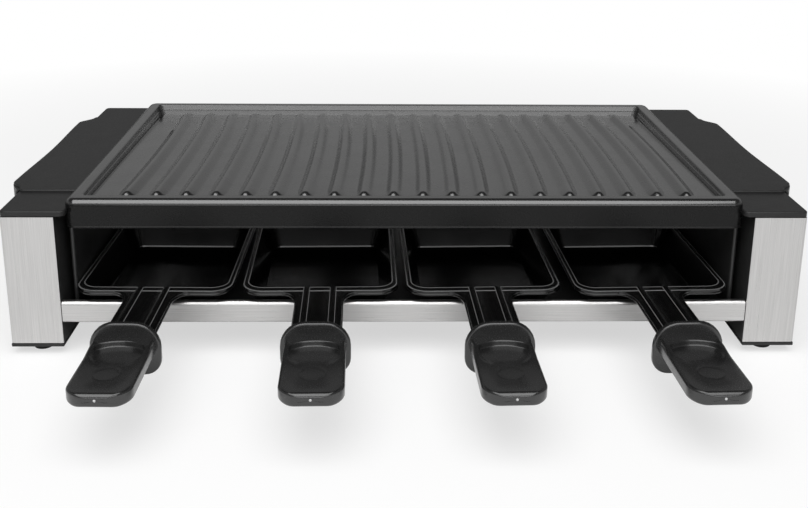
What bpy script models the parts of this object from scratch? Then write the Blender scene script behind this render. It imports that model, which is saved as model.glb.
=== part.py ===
"""Raclette grill for eight: a ribbed cast plate over a heating element, four pans on the front and four
on the rear, and two steel-clad side columns that a deck and two beams join.

Metres, +Z up. The origin is on the table under the middle of the grill, and the front faces -Y.
"""

import math

import bmesh
import bpy
from mathutils import Vector

GAP = 0.0003
OVERRUN = 0.002

PANS_IN_ROW = 4
PAN_WIDTH = 0.0915
PAN_LENGTH = 0.122
PAN_HEIGHT = 0.0172
PAN_SHEET = 0.0012
PAN_FLANGE = 0.0035
PAN_FRONT_EXTRA = 0.0030
PAN_LIP = 0.0023
PAN_DRAFT = 0.0072
PAN_CORNER = 0.0125
PAN_EDGE = 0.0005
PAN_FOOT_EDGE = 0.0011
PAN_SIDE_GAP = 0.0061
PAN_BACK_GAP = 0.006
PAN_ASIDE_SHARES = (0.13, -0.36, -0.74, -0.59)
PAN_TURN_SHARES = (-0.175, 0.175, 0.305, 0.35)
BAY_CLEARANCE = 0.0010

NECK_WIDTH = 0.0277
NECK_SHEET = 0.0016
NECK_LENGTH = 0.059
NECK_DROP = 0.0002
FLARE_WIDTH = 0.0165
FLARE_LENGTH = 0.013
NECK_ROOT = 0.0058
EMBOSS_WIDTH = 0.0036
EMBOSS_APART = 0.0166
EMBOSS_HEIGHT = 0.0006
TANG_WIDTH = 0.020
TANG_LENGTH = 0.014

GRIP_LENGTH = 0.061
GUARD_WIDTH = 0.0371
GUARD_ABOVE = 0.0103
GUARD_BELOW = 0.0190
GUARD_THICKNESS = 0.0036
GUARD_TOP_CORNER = 0.0135
GUARD_LOW_CORNER = 0.0090
GUARD_EDGE = 0.0010
HUMP_WIDTH = 0.0332
HUMP_ABOVE = 0.0024
HUMP_EDGE_ABOVE = 0.0018
HUMP_LENGTH = 0.0085
HUMP_CORNER = 0.0020
PADDLE_WIDTH = 0.0322
PADDLE_ABOVE = 0.0008
PADDLE_BELOW = 0.0062
PADDLE_CORNER = 0.0110
PADDLE_EDGE = 0.0020
DISH_RIM = 0.0030
DISH_DEPTH = 0.0014

COLUMN_WIDTH = 0.0305
RIM_OVERHANG = 0.001
COLUMN_WALL = 0.0028
COVER_SHEET = 0.0008
COVER_BEND = 0.0016
HOUSING_HEIGHT = 0.0776
HOUSING_ROOF = 0.0012
BASE_THICKNESS = 0.0022
BASE_EDGE = 0.0006
FOOT_HEIGHT = 0.0042
FOOT_DIAMETER = 0.0115
FOOT_INSET = 0.0115
FOOT_EDGE = 0.0008

LINER_SHEET = 0.0008
LINER_STANDOFF = 0.0056
LINER_SETBACK = 0.015
LINER_BELOW_PLATE = 0.0006

CAP_THICKNESS = 0.0033
CAP_RAISE = 0.0015
CAP_EDGE = 0.0009
CAP_CORNER = 0.003
CAP_OVERHANG = 0.001
CARRY_REACH = 0.0078
CARRY_WAIST = 0.0016
CARRY_DEPTH = 0.011
CARRY_HALF_LENGTH = 0.089
CARRY_RAMP = 0.017

DECK_TOP = 0.0222
DECK_SHEET = 0.0010
DECK_LIP = 0.0037
BEAM_RISE = 0.0106
BEAM_HEIGHT = 0.0133
BEAM_SHEET = 0.0008
BEAM_BEND = 0.0018
BEAM_SETBACK = 0.0005
BEAM_CLEARANCE = 0.0037

PLATE_SIDE_GAP = 0.0046
PLATE_SETBACK = 0.004
PLATE_HEIGHT = 0.017
PLATE_SKIRT = 0.0040
PLATE_FLOOR = 0.0050
PLATE_CORNER = 0.0065
PLATE_EDGE = 0.0042
PLATE_RIM = 0.0090
PLATE_RIM_DEPTH = 0.0070
FLOOR_RISE = 0.0038
PLATE_RIM_SLOPE = 0.0020
RIB_COUNT = 20
RIB_SIDE_SPACE = 0.0306
RIBS_OFF_CENTRE = 0.0012
RIB_WIDTH = 0.0108
RIB_HEIGHT = 0.0026
RIB_END_SPACE = 0.0145
RIB_END = 0.0060
RIB_BOW = 0.0025
RIB_ROOT = 0.0010

PIN_DIAMETER = 0.0033
PIN_BELOW = 0.0040
PIN_END_SPACE = 0.018
PIN_HEAD = 0.0048
PIN_HEAD_THICKNESS = 0.0016
PIN_REACH = 0.0032

ELEMENT_DIAMETER = 0.0070
ELEMENT_DROP = 0.0055
ELEMENT_SIDE_SPACE = 0.03055
ELEMENT_END_SPACE = 0.058
ELEMENT_LEADS_APART = 0.040
ELEMENT_BEND = 0.012
ELEMENT_TAIL = 0.0115
BRACKET_SHEET = 0.0012
BRACKET_HALF_LENGTH = 0.068
BRACKET_TAB = 0.0090
SHELF_WIDTH = 0.012
SHELF_AT = 0.040
SHELF_PAST = 0.008
INSULATOR_DIAMETER = 0.0115
INSULATOR_FLANGE = 0.0160
INSULATOR_FLANGE_THICKNESS = 0.0030
INSULATOR_REACH = 0.0045

SCREW_DIAMETER = 0.0030
SCREW_HEAD = 0.0060
SCREW_HEAD_THICKNESS = 0.0015
LINER_SCREW_AT = 0.060
LINER_SCREW_LENGTH = 0.0155
BOSS_DIAMETER = 0.0080
BOSS_HEIGHT = 0.0060
BASE_SCREW_RECESS = 0.0012

KNOB_DIAMETER = 0.034
KNOB_HEIGHT = 0.0090
KNOB_TAPER = 0.0015
KNOB_BAR_WIDTH = 0.0070
KNOB_BAR_DEPTH = 0.0030
CONTROL_HEIGHT = 0.046
SHAFT_DIAMETER = 0.0060
SHAFT_LENGTH = 0.0065
THERMOSTAT_LENGTH = 0.026
THERMOSTAT_HEIGHT = 0.028
THERMOSTAT_DEPTH = 0.014
LAMP_DIAMETER = 0.0080
LAMP_FLANGE = 0.0100
LAMP_FLANGE_THICKNESS = 0.0016
LAMP_DEPTH = 0.011
LAMP_AT = -0.036
CUTOUT_DIAMETER = 0.016
CUTOUT_THICKNESS = 0.0070
CUTOUT_AT = -0.070
CUTOUT_HEIGHT = 0.050
BLOCK_LENGTH = 0.030
BLOCK_WIDTH = 0.014
BLOCK_HEIGHT = 0.012
BLOCK_AT = 0.070
GLAND_DIAMETER = 0.0110
GLAND_FLANGE = 0.0150
GLAND_FLANGE_THICKNESS = 0.0030
GLAND_REACH = 0.0080
GLAND_BORE = 0.0065
GLAND_ABOVE_BOSS = 0.0007

PAN_PITCH = PAN_WIDTH + PAN_SIDE_GAP
LINER_INNER = (PANS_IN_ROW * PAN_PITCH - PAN_SIDE_GAP) / 2 + BAY_CLEARANCE
LINER_OUTER = LINER_INNER + LINER_SHEET
COLUMN_INNER = LINER_OUTER + LINER_STANDOFF
COLUMN_OUTER = COLUMN_INNER + COLUMN_WIDTH
COLUMN_MIDDLE = (COLUMN_INNER + COLUMN_OUTER) / 2
COVER_INSIDE = COLUMN_OUTER - COVER_SHEET
BODY_HALF_DEPTH = PAN_BACK_GAP / 2 + PAN_LENGTH - RIM_OVERHANG
BASE_LOW = FOOT_HEIGHT + GAP
HOUSING_LOW = BASE_LOW + BASE_THICKNESS + GAP
HOUSING_HIGH = HOUSING_LOW + HOUSING_HEIGHT
CAP_LOW = HOUSING_HIGH + GAP
CAP_HIGH = CAP_LOW + CAP_THICKNESS
PAN_LOW = DECK_TOP + GAP
PAN_TOP = PAN_LOW + PAN_HEIGHT
PAN_MIDDLE = (PAN_BACK_GAP + PAN_LENGTH) / 2
BEAM_TOP = DECK_TOP + BEAM_RISE
BEAM_FRONT = BODY_HALF_DEPTH - BEAM_SETBACK
PIN_HEIGHT = HOUSING_HIGH - HOUSING_ROOF - GAP - PIN_HEAD / 2
PLATE_LOW = PIN_HEIGHT - PIN_BELOW
PLATE_TOP = PLATE_LOW + PLATE_HEIGHT
PLATE_HALF_WIDTH = COLUMN_INNER - PLATE_SIDE_GAP
PLATE_HALF_DEPTH = BODY_HALF_DEPTH - PLATE_SETBACK
RIB_PITCH = 2 * (PLATE_HALF_WIDTH - RIB_SIDE_SPACE) / (RIB_COUNT - 1)
GRILL_FLOOR = PLATE_TOP - PLATE_RIM_DEPTH
ELEMENT_HALF_WIDTH = PLATE_HALF_WIDTH - ELEMENT_SIDE_SPACE
ELEMENT_HALF_DEPTH = PLATE_HALF_DEPTH - ELEMENT_END_SPACE
PIN_AT = PLATE_HALF_DEPTH - PIN_END_SPACE
ELEMENT_HEIGHT = PLATE_LOW - ELEMENT_DROP
SHELF_TOP = ELEMENT_HEIGHT - ELEMENT_DIAMETER / 2 - GAP
SCREW_HEIGHT = SHELF_TOP - BRACKET_SHEET - SCREW_HEAD / 2 - GAP
GLAND_HEIGHT = HOUSING_LOW + COLUMN_WALL + BOSS_HEIGHT + GLAND_DIAMETER / 2 + GLAND_ABOVE_BOSS


def finish(name, colour, roughness, metallic=0.0):
    """A Principled material of one colour."""
    made = bpy.data.materials.new(name)
    made.use_nodes = True
    shader = made.node_tree.nodes["Principled BSDF"]
    shader.inputs["Base Color"].default_value = (*colour, 1.0)
    shader.inputs["Roughness"].default_value = roughness
    shader.inputs["Metallic"].default_value = metallic
    made.diffuse_color = (*colour, 1.0)
    return made


def finishes():
    """Every finish of the grill by name."""
    return {
        "cast": finish("cast_nonstick", (0.045, 0.045, 0.047), 0.38),
        "pan": finish("pan_nonstick", (0.012, 0.012, 0.013), 0.32),
        "plastic": finish("black_plastic", (0.028, 0.028, 0.029), 0.55),
        "grip": finish("grip_plastic", (0.022, 0.022, 0.023), 0.45),
        "brushed": finish("brushed_steel", (0.62, 0.61, 0.59), 0.34, 1.0),
        "sheet": finish("black_sheet", (0.018, 0.018, 0.019), 0.45),
        "rubber": finish("rubber", (0.015, 0.015, 0.015), 0.85),
        "bright": finish("bright_steel", (0.70, 0.70, 0.69), 0.22, 1.0),
        "element": finish("element_sheath", (0.16, 0.15, 0.14), 0.42, 1.0),
        "ceramic": finish("ceramic", (0.80, 0.77, 0.70), 0.60),
        "bakelite": finish("bakelite", (0.08, 0.05, 0.035), 0.50),
        "lens": finish("red_lens", (0.55, 0.03, 0.02), 0.15),
    }


def put(name, mesh, look, place=(0, 0, 0)):
    """An object of this mesh in the scene, with its finish."""
    piece = bpy.data.objects.new(name, mesh)
    piece.location = place
    if not mesh.materials:
        mesh.materials.append(look)
    bpy.context.scene.collection.objects.link(piece)
    return piece


def loft(name, rings, look, place=(0, 0, 0), smooth_degrees=35):
    """Rings of as many points each, joined one to the next, with both ends closed."""
    shape = bmesh.new()
    loops = [[shape.verts.new(point) for point in ring] for ring in rings]
    for low, high in zip(loops, loops[1:]):
        for i, corner in enumerate(low):
            shape.faces.new((corner, low[i - 1], high[i - 1], high[i]))
    shape.faces.new(loops[0])
    shape.faces.new(reversed(loops[-1]))
    bmesh.ops.recalc_face_normals(shape, faces=shape.faces)
    mesh = bpy.data.meshes.new(name)
    shape.to_mesh(mesh)
    shape.free()
    mesh.shade_smooth()
    mesh.set_sharp_from_angle(angle=math.radians(smooth_degrees))
    return put(name, mesh, look, place)


def block(name, low, high, look, edge=0.0, place=(0, 0, 0)):
    """A box between two corners, given in any order, with its edges eased."""
    outline = ((0, 0), (1, 0), (1, 1), (0, 1))
    corners = (Vector(low), Vector(high))
    rings = [[(corners[i].x, corners[j].y, end.z) for i, j in outline] for end in corners]
    piece = loft(name, rings, look, place)
    if edge:
        easing = piece.modifiers.new("easing", "BEVEL")
        easing.width = edge
        easing.segments = 2
        easing.limit_method = "ANGLE"
    return piece


def turned(name, profile, centre, direction, look, sides=16):
    """A profile of (radius, distance along the axis) turned about an axis through the centre."""
    turn = Vector(direction).to_track_quat("Z", "Y")
    rings = []
    for radius, along in profile:
        angles = [2 * math.pi * side / sides for side in range(sides)]
        rings.append([turn @ Vector((radius * math.cos(a), radius * math.sin(a), along)) for a in angles])
    return loft(name, rings, look, centre, smooth_degrees=50)


def rod(name, diameter, start, end, look, sides=12):
    """A plain round bar from one point to another."""
    along = Vector(end) - Vector(start)
    profile = ((diameter / 2, 0), (diameter / 2, along.length))
    return turned(name, profile, start, along.normalized(), look, sides)


def boolean(piece, tool, operation):
    """Joins the tool to the piece or cuts it out, and hides the tool."""
    change = piece.modifiers.new(tool.name, "BOOLEAN")
    change.operation = operation
    change.object = tool
    tool.hide_render = True
    tool.display_type = "WIRE"
    return piece


def join(piece, *tools):
    for tool in tools:
        boolean(piece, tool, "UNION")
    return piece


def cut(piece, *tools):
    for tool in tools:
        boolean(piece, tool, "DIFFERENCE")
    return piece


def baked(piece):
    """The mesh of a piece with its modifiers applied, for a piece that repeats."""
    bpy.context.view_layer.update()
    graph = bpy.context.evaluated_depsgraph_get()
    mesh = bpy.data.meshes.new_from_object(piece.evaluated_get(graph))
    piece.hide_render = True
    piece.display_type = "WIRE"
    return mesh


def arc(centre_x, centre_y, radius, start_degrees, end_degrees, steps):
    """Points along an arc."""
    angles = [math.radians(start_degrees + (end_degrees - start_degrees) * i / steps) for i in range(steps + 1)]
    return [(centre_x + radius * math.cos(a), centre_y + radius * math.sin(a)) for a in angles]


def rounded(half_x, half_y, radius, steps=3, far_radius=None):
    """A rectangle about the origin with round corners. The far radius is for the two at +Y."""
    far = radius if far_radius is None else far_radius
    return [
        *arc(half_x - far, half_y - far, far, 0, 90, steps),
        *arc(far - half_x, half_y - far, far, 90, 180, steps),
        *arc(radius - half_x, radius - half_y, radius, 180, 270, steps),
        *arc(half_x - radius, radius - half_y, radius, 270, 360, steps),
    ]


def pan_ring(inset, corner, height, front_extra=PAN_FRONT_EXTRA):
    """The pan's outline drawn in by an inset, and by an extra at its front, at a height over its bottom."""
    outline = rounded(PAN_WIDTH / 2 - inset, (PAN_LENGTH - front_extra) / 2 - inset, corner)
    return [(x, y + front_extra / 2, height) for x, y in outline]


def tray(look):
    """The pressed tray: its underside, its flange with a lip, and its inside."""
    under_flange = PAN_HEIGHT - PAN_SHEET
    floor_inset = PAN_FLANGE + PAN_DRAFT
    wall = PAN_SHEET
    inside = PAN_CORNER - PAN_FLANGE
    foot = inside / 2
    rings = [
        pan_ring(floor_inset - wall + PAN_FOOT_EDGE, foot, 0),
        pan_ring(floor_inset - wall, foot + PAN_FOOT_EDGE, PAN_FOOT_EDGE),
        pan_ring(PAN_FLANGE - wall, inside + wall, under_flange - PAN_EDGE),
        pan_ring(PAN_EDGE, PAN_CORNER - PAN_EDGE, PAN_HEIGHT - PAN_LIP, 0),
        pan_ring(0, PAN_CORNER, PAN_HEIGHT - PAN_LIP + PAN_EDGE, 0),
        pan_ring(0, PAN_CORNER, PAN_HEIGHT - PAN_EDGE, 0),
        pan_ring(PAN_EDGE, PAN_CORNER - PAN_EDGE, PAN_HEIGHT, 0),
        pan_ring(PAN_FLANGE - PAN_EDGE, inside + PAN_EDGE, PAN_HEIGHT),
        pan_ring(PAN_FLANGE, inside, PAN_HEIGHT - PAN_EDGE),
        pan_ring(floor_inset, foot + PAN_FOOT_EDGE, wall + PAN_FOOT_EDGE),
        pan_ring(floor_inset + PAN_FOOT_EDGE, foot, wall),
    ]
    return loft("tray", rings, look)


def neck_section(y, half_width, emboss):
    """The neck's section at one place: a flat strip with two raised lines on top."""
    top = PAN_HEIGHT - NECK_DROP
    bottom = top - NECK_SHEET
    points = [(half_width, top), (half_width, bottom), (-half_width, bottom), (-half_width, top)]
    for side in (-1, 1):
        middle = side * EMBOSS_APART / 2
        for step in (-1, 1):
            foot = middle + step * EMBOSS_WIDTH / 2
            crest = middle + step * EMBOSS_WIDTH / 4
            pair = [(foot, top), (crest, top + emboss)]
            points += pair if step < 0 else pair[::-1]
    return [(x, y, z) for x, z in points]


def neck(look):
    """The strip that runs from the flange over the beam, flared where it leaves the pan."""
    front = -PAN_LENGTH / 2
    half = NECK_WIDTH / 2
    sections = [neck_section(front + NECK_ROOT, half + FLARE_WIDTH / 2, 0)]
    steps = 3
    for step in range(steps + 1):
        turn = math.pi / 2 * step / steps
        width = half + FLARE_WIDTH / 2 * (1 - math.sin(turn))
        sections.append(neck_section(front - FLARE_LENGTH * (1 - math.cos(turn)), width, EMBOSS_HEIGHT))
    sections.append(neck_section(front - NECK_LENGTH + GAP, half, EMBOSS_HEIGHT))
    return loft("neck", sections, look)


def tang(look):
    """The narrow end of the neck inside the grip."""
    front = -PAN_LENGTH / 2 - NECK_LENGTH
    top = PAN_HEIGHT - NECK_DROP
    low = (-TANG_WIDTH / 2, front - TANG_LENGTH, top - NECK_SHEET)
    return block("tang", low, (TANG_WIDTH / 2, front + NECK_ROOT, top), look)


def pan_mesh(look):
    return baked(join(tray(look), neck(look), tang(look)))


def guard(look):
    """The plate that stands across the handle and keeps fingers off the hot neck."""
    neck_middle = PAN_HEIGHT - NECK_DROP - NECK_SHEET / 2
    centre = neck_middle + (GUARD_ABOVE - GUARD_BELOW) / 2
    half_height = (GUARD_ABOVE + GUARD_BELOW) / 2
    rear = -PAN_LENGTH / 2 - NECK_LENGTH
    rings = []
    for y, inset in (
        (rear, GUARD_EDGE),
        (rear - GUARD_EDGE, 0),
        (rear - GUARD_THICKNESS + GUARD_EDGE, 0),
        (rear - GUARD_THICKNESS, GUARD_EDGE),
    ):
        outline = rounded(
            GUARD_WIDTH / 2 - inset, half_height - inset, GUARD_LOW_CORNER - inset,
            far_radius=GUARD_TOP_CORNER - inset,
        )
        rings.append([(x, y, centre + z) for x, z in outline])
    return loft("guard", rings, look)


def hump(look):
    """The low step between the guard and the thumb paddle."""
    neck_middle = PAN_HEIGHT - NECK_DROP - NECK_SHEET / 2
    guard_front = -PAN_LENGTH / 2 - NECK_LENGTH - GUARD_THICKNESS
    start = guard_front + GUARD_THICKNESS / 2
    end = guard_front - HUMP_LENGTH
    low = neck_middle - PADDLE_BELOW + PADDLE_EDGE / 2
    rings = []
    for y, above in ((start, HUMP_ABOVE), (end, HUMP_EDGE_ABOVE)):
        high = neck_middle + above
        outline = rounded(
            HUMP_WIDTH / 2 - PADDLE_EDGE / 2, (high - low) / 2, HUMP_CORNER / 2, far_radius=HUMP_CORNER
        )
        rings.append([(x, y, (high + low) / 2 + z) for x, z in outline])
    return loft("hump", rings, look)


def paddle(look):
    """The thumb paddle with its dished top and round end."""
    neck_middle = PAN_HEIGHT - NECK_DROP - NECK_SHEET / 2
    rear = -PAN_LENGTH / 2 - NECK_LENGTH - GUARD_THICKNESS * 2 / 3
    end = -PAN_LENGTH / 2 - NECK_LENGTH - GRIP_LENGTH
    middle = (rear + end) / 2
    low = neck_middle - PADDLE_BELOW
    high = neck_middle + PADDLE_ABOVE
    rings = []
    for inset, height in (
        (PADDLE_EDGE, low),
        (0, low + PADDLE_EDGE),
        (0, high - PADDLE_EDGE),
        (PADDLE_EDGE / 2, high - PADDLE_EDGE / 4),
        (PADDLE_EDGE, high),
        (DISH_RIM, high - DISH_DEPTH / 4),
        (DISH_RIM * 2, high - DISH_DEPTH),
    ):
        outline = rounded(
            PADDLE_WIDTH / 2 - inset, (rear - end) / 2 - inset, PADDLE_CORNER - inset, far_radius=GUARD_EDGE
        )
        rings.append([(x, middle + y, height) for x, y in outline])
    return loft("paddle", rings, look)


def tang_slot(look):
    """The slot in the grip that the tang fills."""
    front = -PAN_LENGTH / 2 - NECK_LENGTH
    top = PAN_HEIGHT - NECK_DROP
    low = (-TANG_WIDTH / 2 - GAP, front - TANG_LENGTH - GAP, top - NECK_SHEET - GAP)
    return block("tang_slot", low, (TANG_WIDTH / 2 + GAP, front + OVERRUN, top + GAP), look)


def grip_mesh(look):
    return baked(cut(join(guard(look), hump(look), paddle(look)), tang_slot(look)))


def pans_and_grips(look):
    """Two rows of pans, each with its grip. The rear row stands evenly, and the front one a little loosely:
    the shares say how far each pan lies aside and how far its end is turned aside, in gaps between pans."""
    pan = pan_mesh(look["pan"])
    grip = grip_mesh(look["grip"])
    for row, facing in (("front", 0.0), ("rear", math.pi)):
        for i in range(PANS_IN_ROW):
            across = (i - (PANS_IN_ROW - 1) / 2) * PAN_PITCH
            turn = 0.0
            if row == "front":
                across += PAN_ASIDE_SHARES[i] * PAN_SIDE_GAP
                turn = math.asin(PAN_TURN_SHARES[i] * PAN_SIDE_GAP / (PAN_LENGTH / 2))
            place = (across, PAN_MIDDLE if facing else -PAN_MIDDLE, PAN_LOW)
            for name, mesh in ((f"pan_{row}_{i + 1}", pan), (f"grip_{row}_{i + 1}", grip)):
                piece = put(name, mesh, None, place)
                piece.rotation_euler.z = facing + turn


def floor_rise(y):
    """How far the cooking floor has risen at a depth, from none at the rear to all at the front."""
    return FLOOR_RISE * (1 - y / PLATE_HALF_DEPTH) / 2


def plate_ring(inset, height, sloped=False):
    """The plate's outline drawn in by an inset, and level or in the slope of the cooking floor."""
    corner = max(PLATE_CORNER - inset, PLATE_EDGE / 2)
    outline = rounded(PLATE_HALF_WIDTH - inset, PLATE_HALF_DEPTH - inset, corner, steps=4)
    return [(x, y, height - PLATE_LOW + (floor_rise(y) if sloped else 0)) for x, y in outline]


def plate_body(look):
    """The cast plate without its ribs: skirt, rounded shoulder, rim and sloping floor, hollow below."""
    slab_low = GRILL_FLOOR - PLATE_FLOOR
    shoulder = PLATE_EDGE * (1 - math.sqrt(0.5))
    foot = PLATE_RIM + PLATE_RIM_SLOPE
    rings = [
        plate_ring(PLATE_SKIRT + PLATE_EDGE / 4, slab_low),
        plate_ring(PLATE_SKIRT, PLATE_LOW),
        plate_ring(PLATE_EDGE / 4, PLATE_LOW),
        plate_ring(0, PLATE_LOW + PLATE_EDGE / 4),
        plate_ring(0, PLATE_TOP - PLATE_EDGE),
        plate_ring(shoulder, PLATE_TOP - shoulder),
        plate_ring(PLATE_EDGE, PLATE_TOP),
        plate_ring(PLATE_RIM, PLATE_TOP),
        plate_ring(PLATE_RIM + shoulder, PLATE_TOP - shoulder),
        plate_ring(foot - shoulder, GRILL_FLOOR + shoulder, True),
        plate_ring(foot + shoulder, GRILL_FLOOR, True),
    ]
    return loft("grill_plate", rings, look, (0, 0, PLATE_LOW))


def rib(i, look):
    """One rounded rib from front to back, bowed a little to the right, with domed ends."""
    across = (i - (RIB_COUNT - 1) / 2) * RIB_PITCH + RIBS_OFF_CENTRE
    half_length = PLATE_HALF_DEPTH - RIB_END_SPACE
    width_shares = (0.84, 0.5, -0.5, -0.84)
    height_shares = (0.55, 0.97, 0.97, 0.55)
    stations = [(half_length, 0.35), (half_length - RIB_END / 3, 0.75), (half_length - RIB_END, 1.0)]
    stations += [(half_length / 3, 1.0)]
    stations += [(-y, size) for y, size in reversed(stations)]
    rings = []
    for y, size in stations:
        bow = RIB_BOW * (1 - (y / half_length) ** 2)
        base = GRILL_FLOOR - PLATE_LOW + floor_rise(y)
        ring = [(across + bow + RIB_WIDTH / 2 * size * w, y, base + RIB_HEIGHT * size * h)
                for w, h in zip(width_shares, height_shares)]
        ring += [(across + bow + RIB_WIDTH / 2 * size * w, y, base - RIB_ROOT) for w in (-1, 1)]
        rings.append(ring)
    return loft(f"rib_{i + 1}", rings, look, (0, 0, PLATE_LOW))


def pin_notch(side, end, look):
    """The notch in the plate's skirt that sits over a pin."""
    half = PIN_DIAMETER / 2 + GAP
    inner = side * (PLATE_HALF_WIDTH - PLATE_SKIRT - OVERRUN)
    low = (inner, end * PIN_AT - half, PLATE_LOW - OVERRUN)
    high = (side * (PLATE_HALF_WIDTH + OVERRUN), end * PIN_AT + half, PIN_HEIGHT + half)
    return block("pin_notch", low, high, look)


def grill_plate(look):
    body = plate_body(look["cast"])
    join(body, *[rib(i, look["cast"]) for i in range(RIB_COUNT)])
    cut(body, *[pin_notch(side, end, look["cast"]) for side in (-1, 1) for end in (-1, 1)])


def element(look):
    """The sheathed element: one loop under the plate, with both tails in the right column."""
    lead = ELEMENT_LEADS_APART / 2
    tail = COLUMN_INNER + COLUMN_WALL + ELEMENT_TAIL
    corners = [
        (tail, -lead), (ELEMENT_HALF_WIDTH, -lead), (ELEMENT_HALF_WIDTH, -ELEMENT_HALF_DEPTH),
        (-ELEMENT_HALF_WIDTH, -ELEMENT_HALF_DEPTH), (-ELEMENT_HALF_WIDTH, ELEMENT_HALF_DEPTH),
        (ELEMENT_HALF_WIDTH, ELEMENT_HALF_DEPTH), (ELEMENT_HALF_WIDTH, lead), (tail, lead),
    ]
    points = [Vector(corners[0])]
    steps = 4
    for before, corner, after in zip(corners, corners[1:], corners[2:]):
        here = Vector(corner)
        back = (Vector(before) - here).normalized()
        onward = (Vector(after) - here).normalized()
        centre = here + (back + onward) * ELEMENT_BEND
        for step in range(steps + 1):
            turn = math.pi / 2 * step / steps
            points.append(centre - ELEMENT_BEND * (onward * math.cos(turn) + back * math.sin(turn)))
    points.append(Vector(corners[-1]))
    curve = bpy.data.curves.new("heating_element", "CURVE")
    curve.dimensions = "3D"
    curve.bevel_depth = ELEMENT_DIAMETER / 2
    curve.bevel_resolution = 2
    curve.use_fill_caps = True
    run = curve.splines.new("POLY")
    run.points.add(len(points) - 1)
    for place, point in zip(run.points, points):
        place.co = (point.x, point.y, ELEMENT_HEIGHT, 1)
    curve.materials.append(look["element"])
    bpy.context.scene.collection.objects.link(bpy.data.objects.new("heating_element", curve))


def bracket(name, side, look):
    """A tab along the liner with two shelves that carry the element."""
    tab_outer = side * (LINER_INNER - GAP)
    tab_inner = side * (LINER_INNER - GAP - BRACKET_SHEET)
    low = (tab_outer, -BRACKET_HALF_LENGTH, SHELF_TOP - BRACKET_TAB)
    made = block(name, low, (tab_inner, BRACKET_HALF_LENGTH, SHELF_TOP), look["bright"])
    for end in (-1, 1):
        middle = end * SHELF_AT
        low = (tab_outer, middle - SHELF_WIDTH / 2, SHELF_TOP - BRACKET_SHEET)
        inner = side * (ELEMENT_HALF_WIDTH - SHELF_PAST)
        shelf = block("shelf", low, (inner, middle + SHELF_WIDTH / 2, SHELF_TOP), look["bright"])
        join(made, shelf)
        cut(made, screw_hole("bracket_hole", side, end, look["bright"]))


def screw_hole(name, side, end, look):
    """A clearance hole along X for a liner screw."""
    place = (side * (LINER_INNER - GAP - BRACKET_SHEET - OVERRUN), end * LINER_SCREW_AT, SCREW_HEIGHT)
    far = (side * (COLUMN_INNER + COLUMN_WALL + OVERRUN), end * LINER_SCREW_AT, SCREW_HEIGHT)
    return rod(name, SCREW_DIAMETER + 2 * GAP, place, far, look)


def lead_hole(name, end, diameter, look):
    """A hole along X for a tail of the element."""
    height = (end * ELEMENT_LEADS_APART / 2, ELEMENT_HEIGHT)
    start = LINER_INNER - OVERRUN
    far = COLUMN_INNER + COLUMN_WALL + INSULATOR_FLANGE_THICKNESS + OVERRUN
    return rod(name, diameter, (start, *height), (far, *height), look)


def insulator(name, end, look):
    """The ceramic bush where a tail of the element passes into the right column."""
    wall = COLUMN_INNER + COLUMN_WALL + GAP
    start = COLUMN_INNER - INSULATOR_REACH
    neck_radius = INSULATOR_DIAMETER / 2
    flange_radius = INSULATOR_FLANGE / 2
    profile = (
        (neck_radius, 0), (neck_radius, wall - start), (flange_radius, wall - start),
        (flange_radius, wall - start + INSULATOR_FLANGE_THICKNESS),
    )
    place = (start, end * ELEMENT_LEADS_APART / 2, ELEMENT_HEIGHT)
    made = turned(name, profile, place, (1, 0, 0), look["ceramic"])
    bore = ELEMENT_DIAMETER + 2 * GAP
    return cut(made, lead_hole("insulator_bore", end, bore, look["ceramic"]))


def plate_pin(name, side, end, look):
    """A pin headed inside the column, on which the plate's notch rests."""
    inner = PLATE_HALF_WIDTH - PIN_REACH
    wall = COLUMN_INNER + COLUMN_WALL + GAP
    radius = PIN_DIAMETER / 2
    profile = (
        (radius, 0), (radius, wall - inner), (PIN_HEAD / 2, wall - inner),
        (PIN_HEAD / 2, wall - inner + PIN_HEAD_THICKNESS),
    )
    return turned(name, profile, (side * inner, end * PIN_AT, PIN_HEIGHT), (side, 0, 0), look["bright"], 12)


def liner_screw(name, side, end, look):
    """A screw through the bracket and the liner into the housing's boss."""
    seat = LINER_INNER - 2 * GAP - BRACKET_SHEET
    radius = SCREW_DIAMETER / 2
    profile = (
        (SCREW_HEAD / 2 - GAP, -SCREW_HEAD_THICKNESS), (SCREW_HEAD / 2, GAP - SCREW_HEAD_THICKNESS),
        (SCREW_HEAD / 2, 0), (radius, 0), (radius, LINER_SCREW_LENGTH),
    )
    place = (side * seat, end * LINER_SCREW_AT, SCREW_HEIGHT)
    return turned(name, profile, place, (side, 0, 0), look["bright"], 12)


def liner(name, side, look):
    """The black sheet beside the pans."""
    half_length = BODY_HALF_DEPTH - LINER_SETBACK
    low = (side * LINER_INNER, -half_length, DECK_TOP + GAP)
    high = (side * LINER_OUTER, half_length, PLATE_LOW - LINER_BELOW_PLATE)
    made = block(name, low, high, look["sheet"])
    cut(made, *[screw_hole("liner_hole", side, end, look["sheet"]) for end in (-1, 1)])
    if side > 0:
        passage = ELEMENT_DIAMETER + 2 * GAP
        cut(made, *[lead_hole("liner_passage", end, passage, look["sheet"]) for end in (-1, 1)])
    return made


def foot_place(side, end):
    return side * COLUMN_MIDDLE, end * (BODY_HALF_DEPTH - FOOT_INSET)


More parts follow.
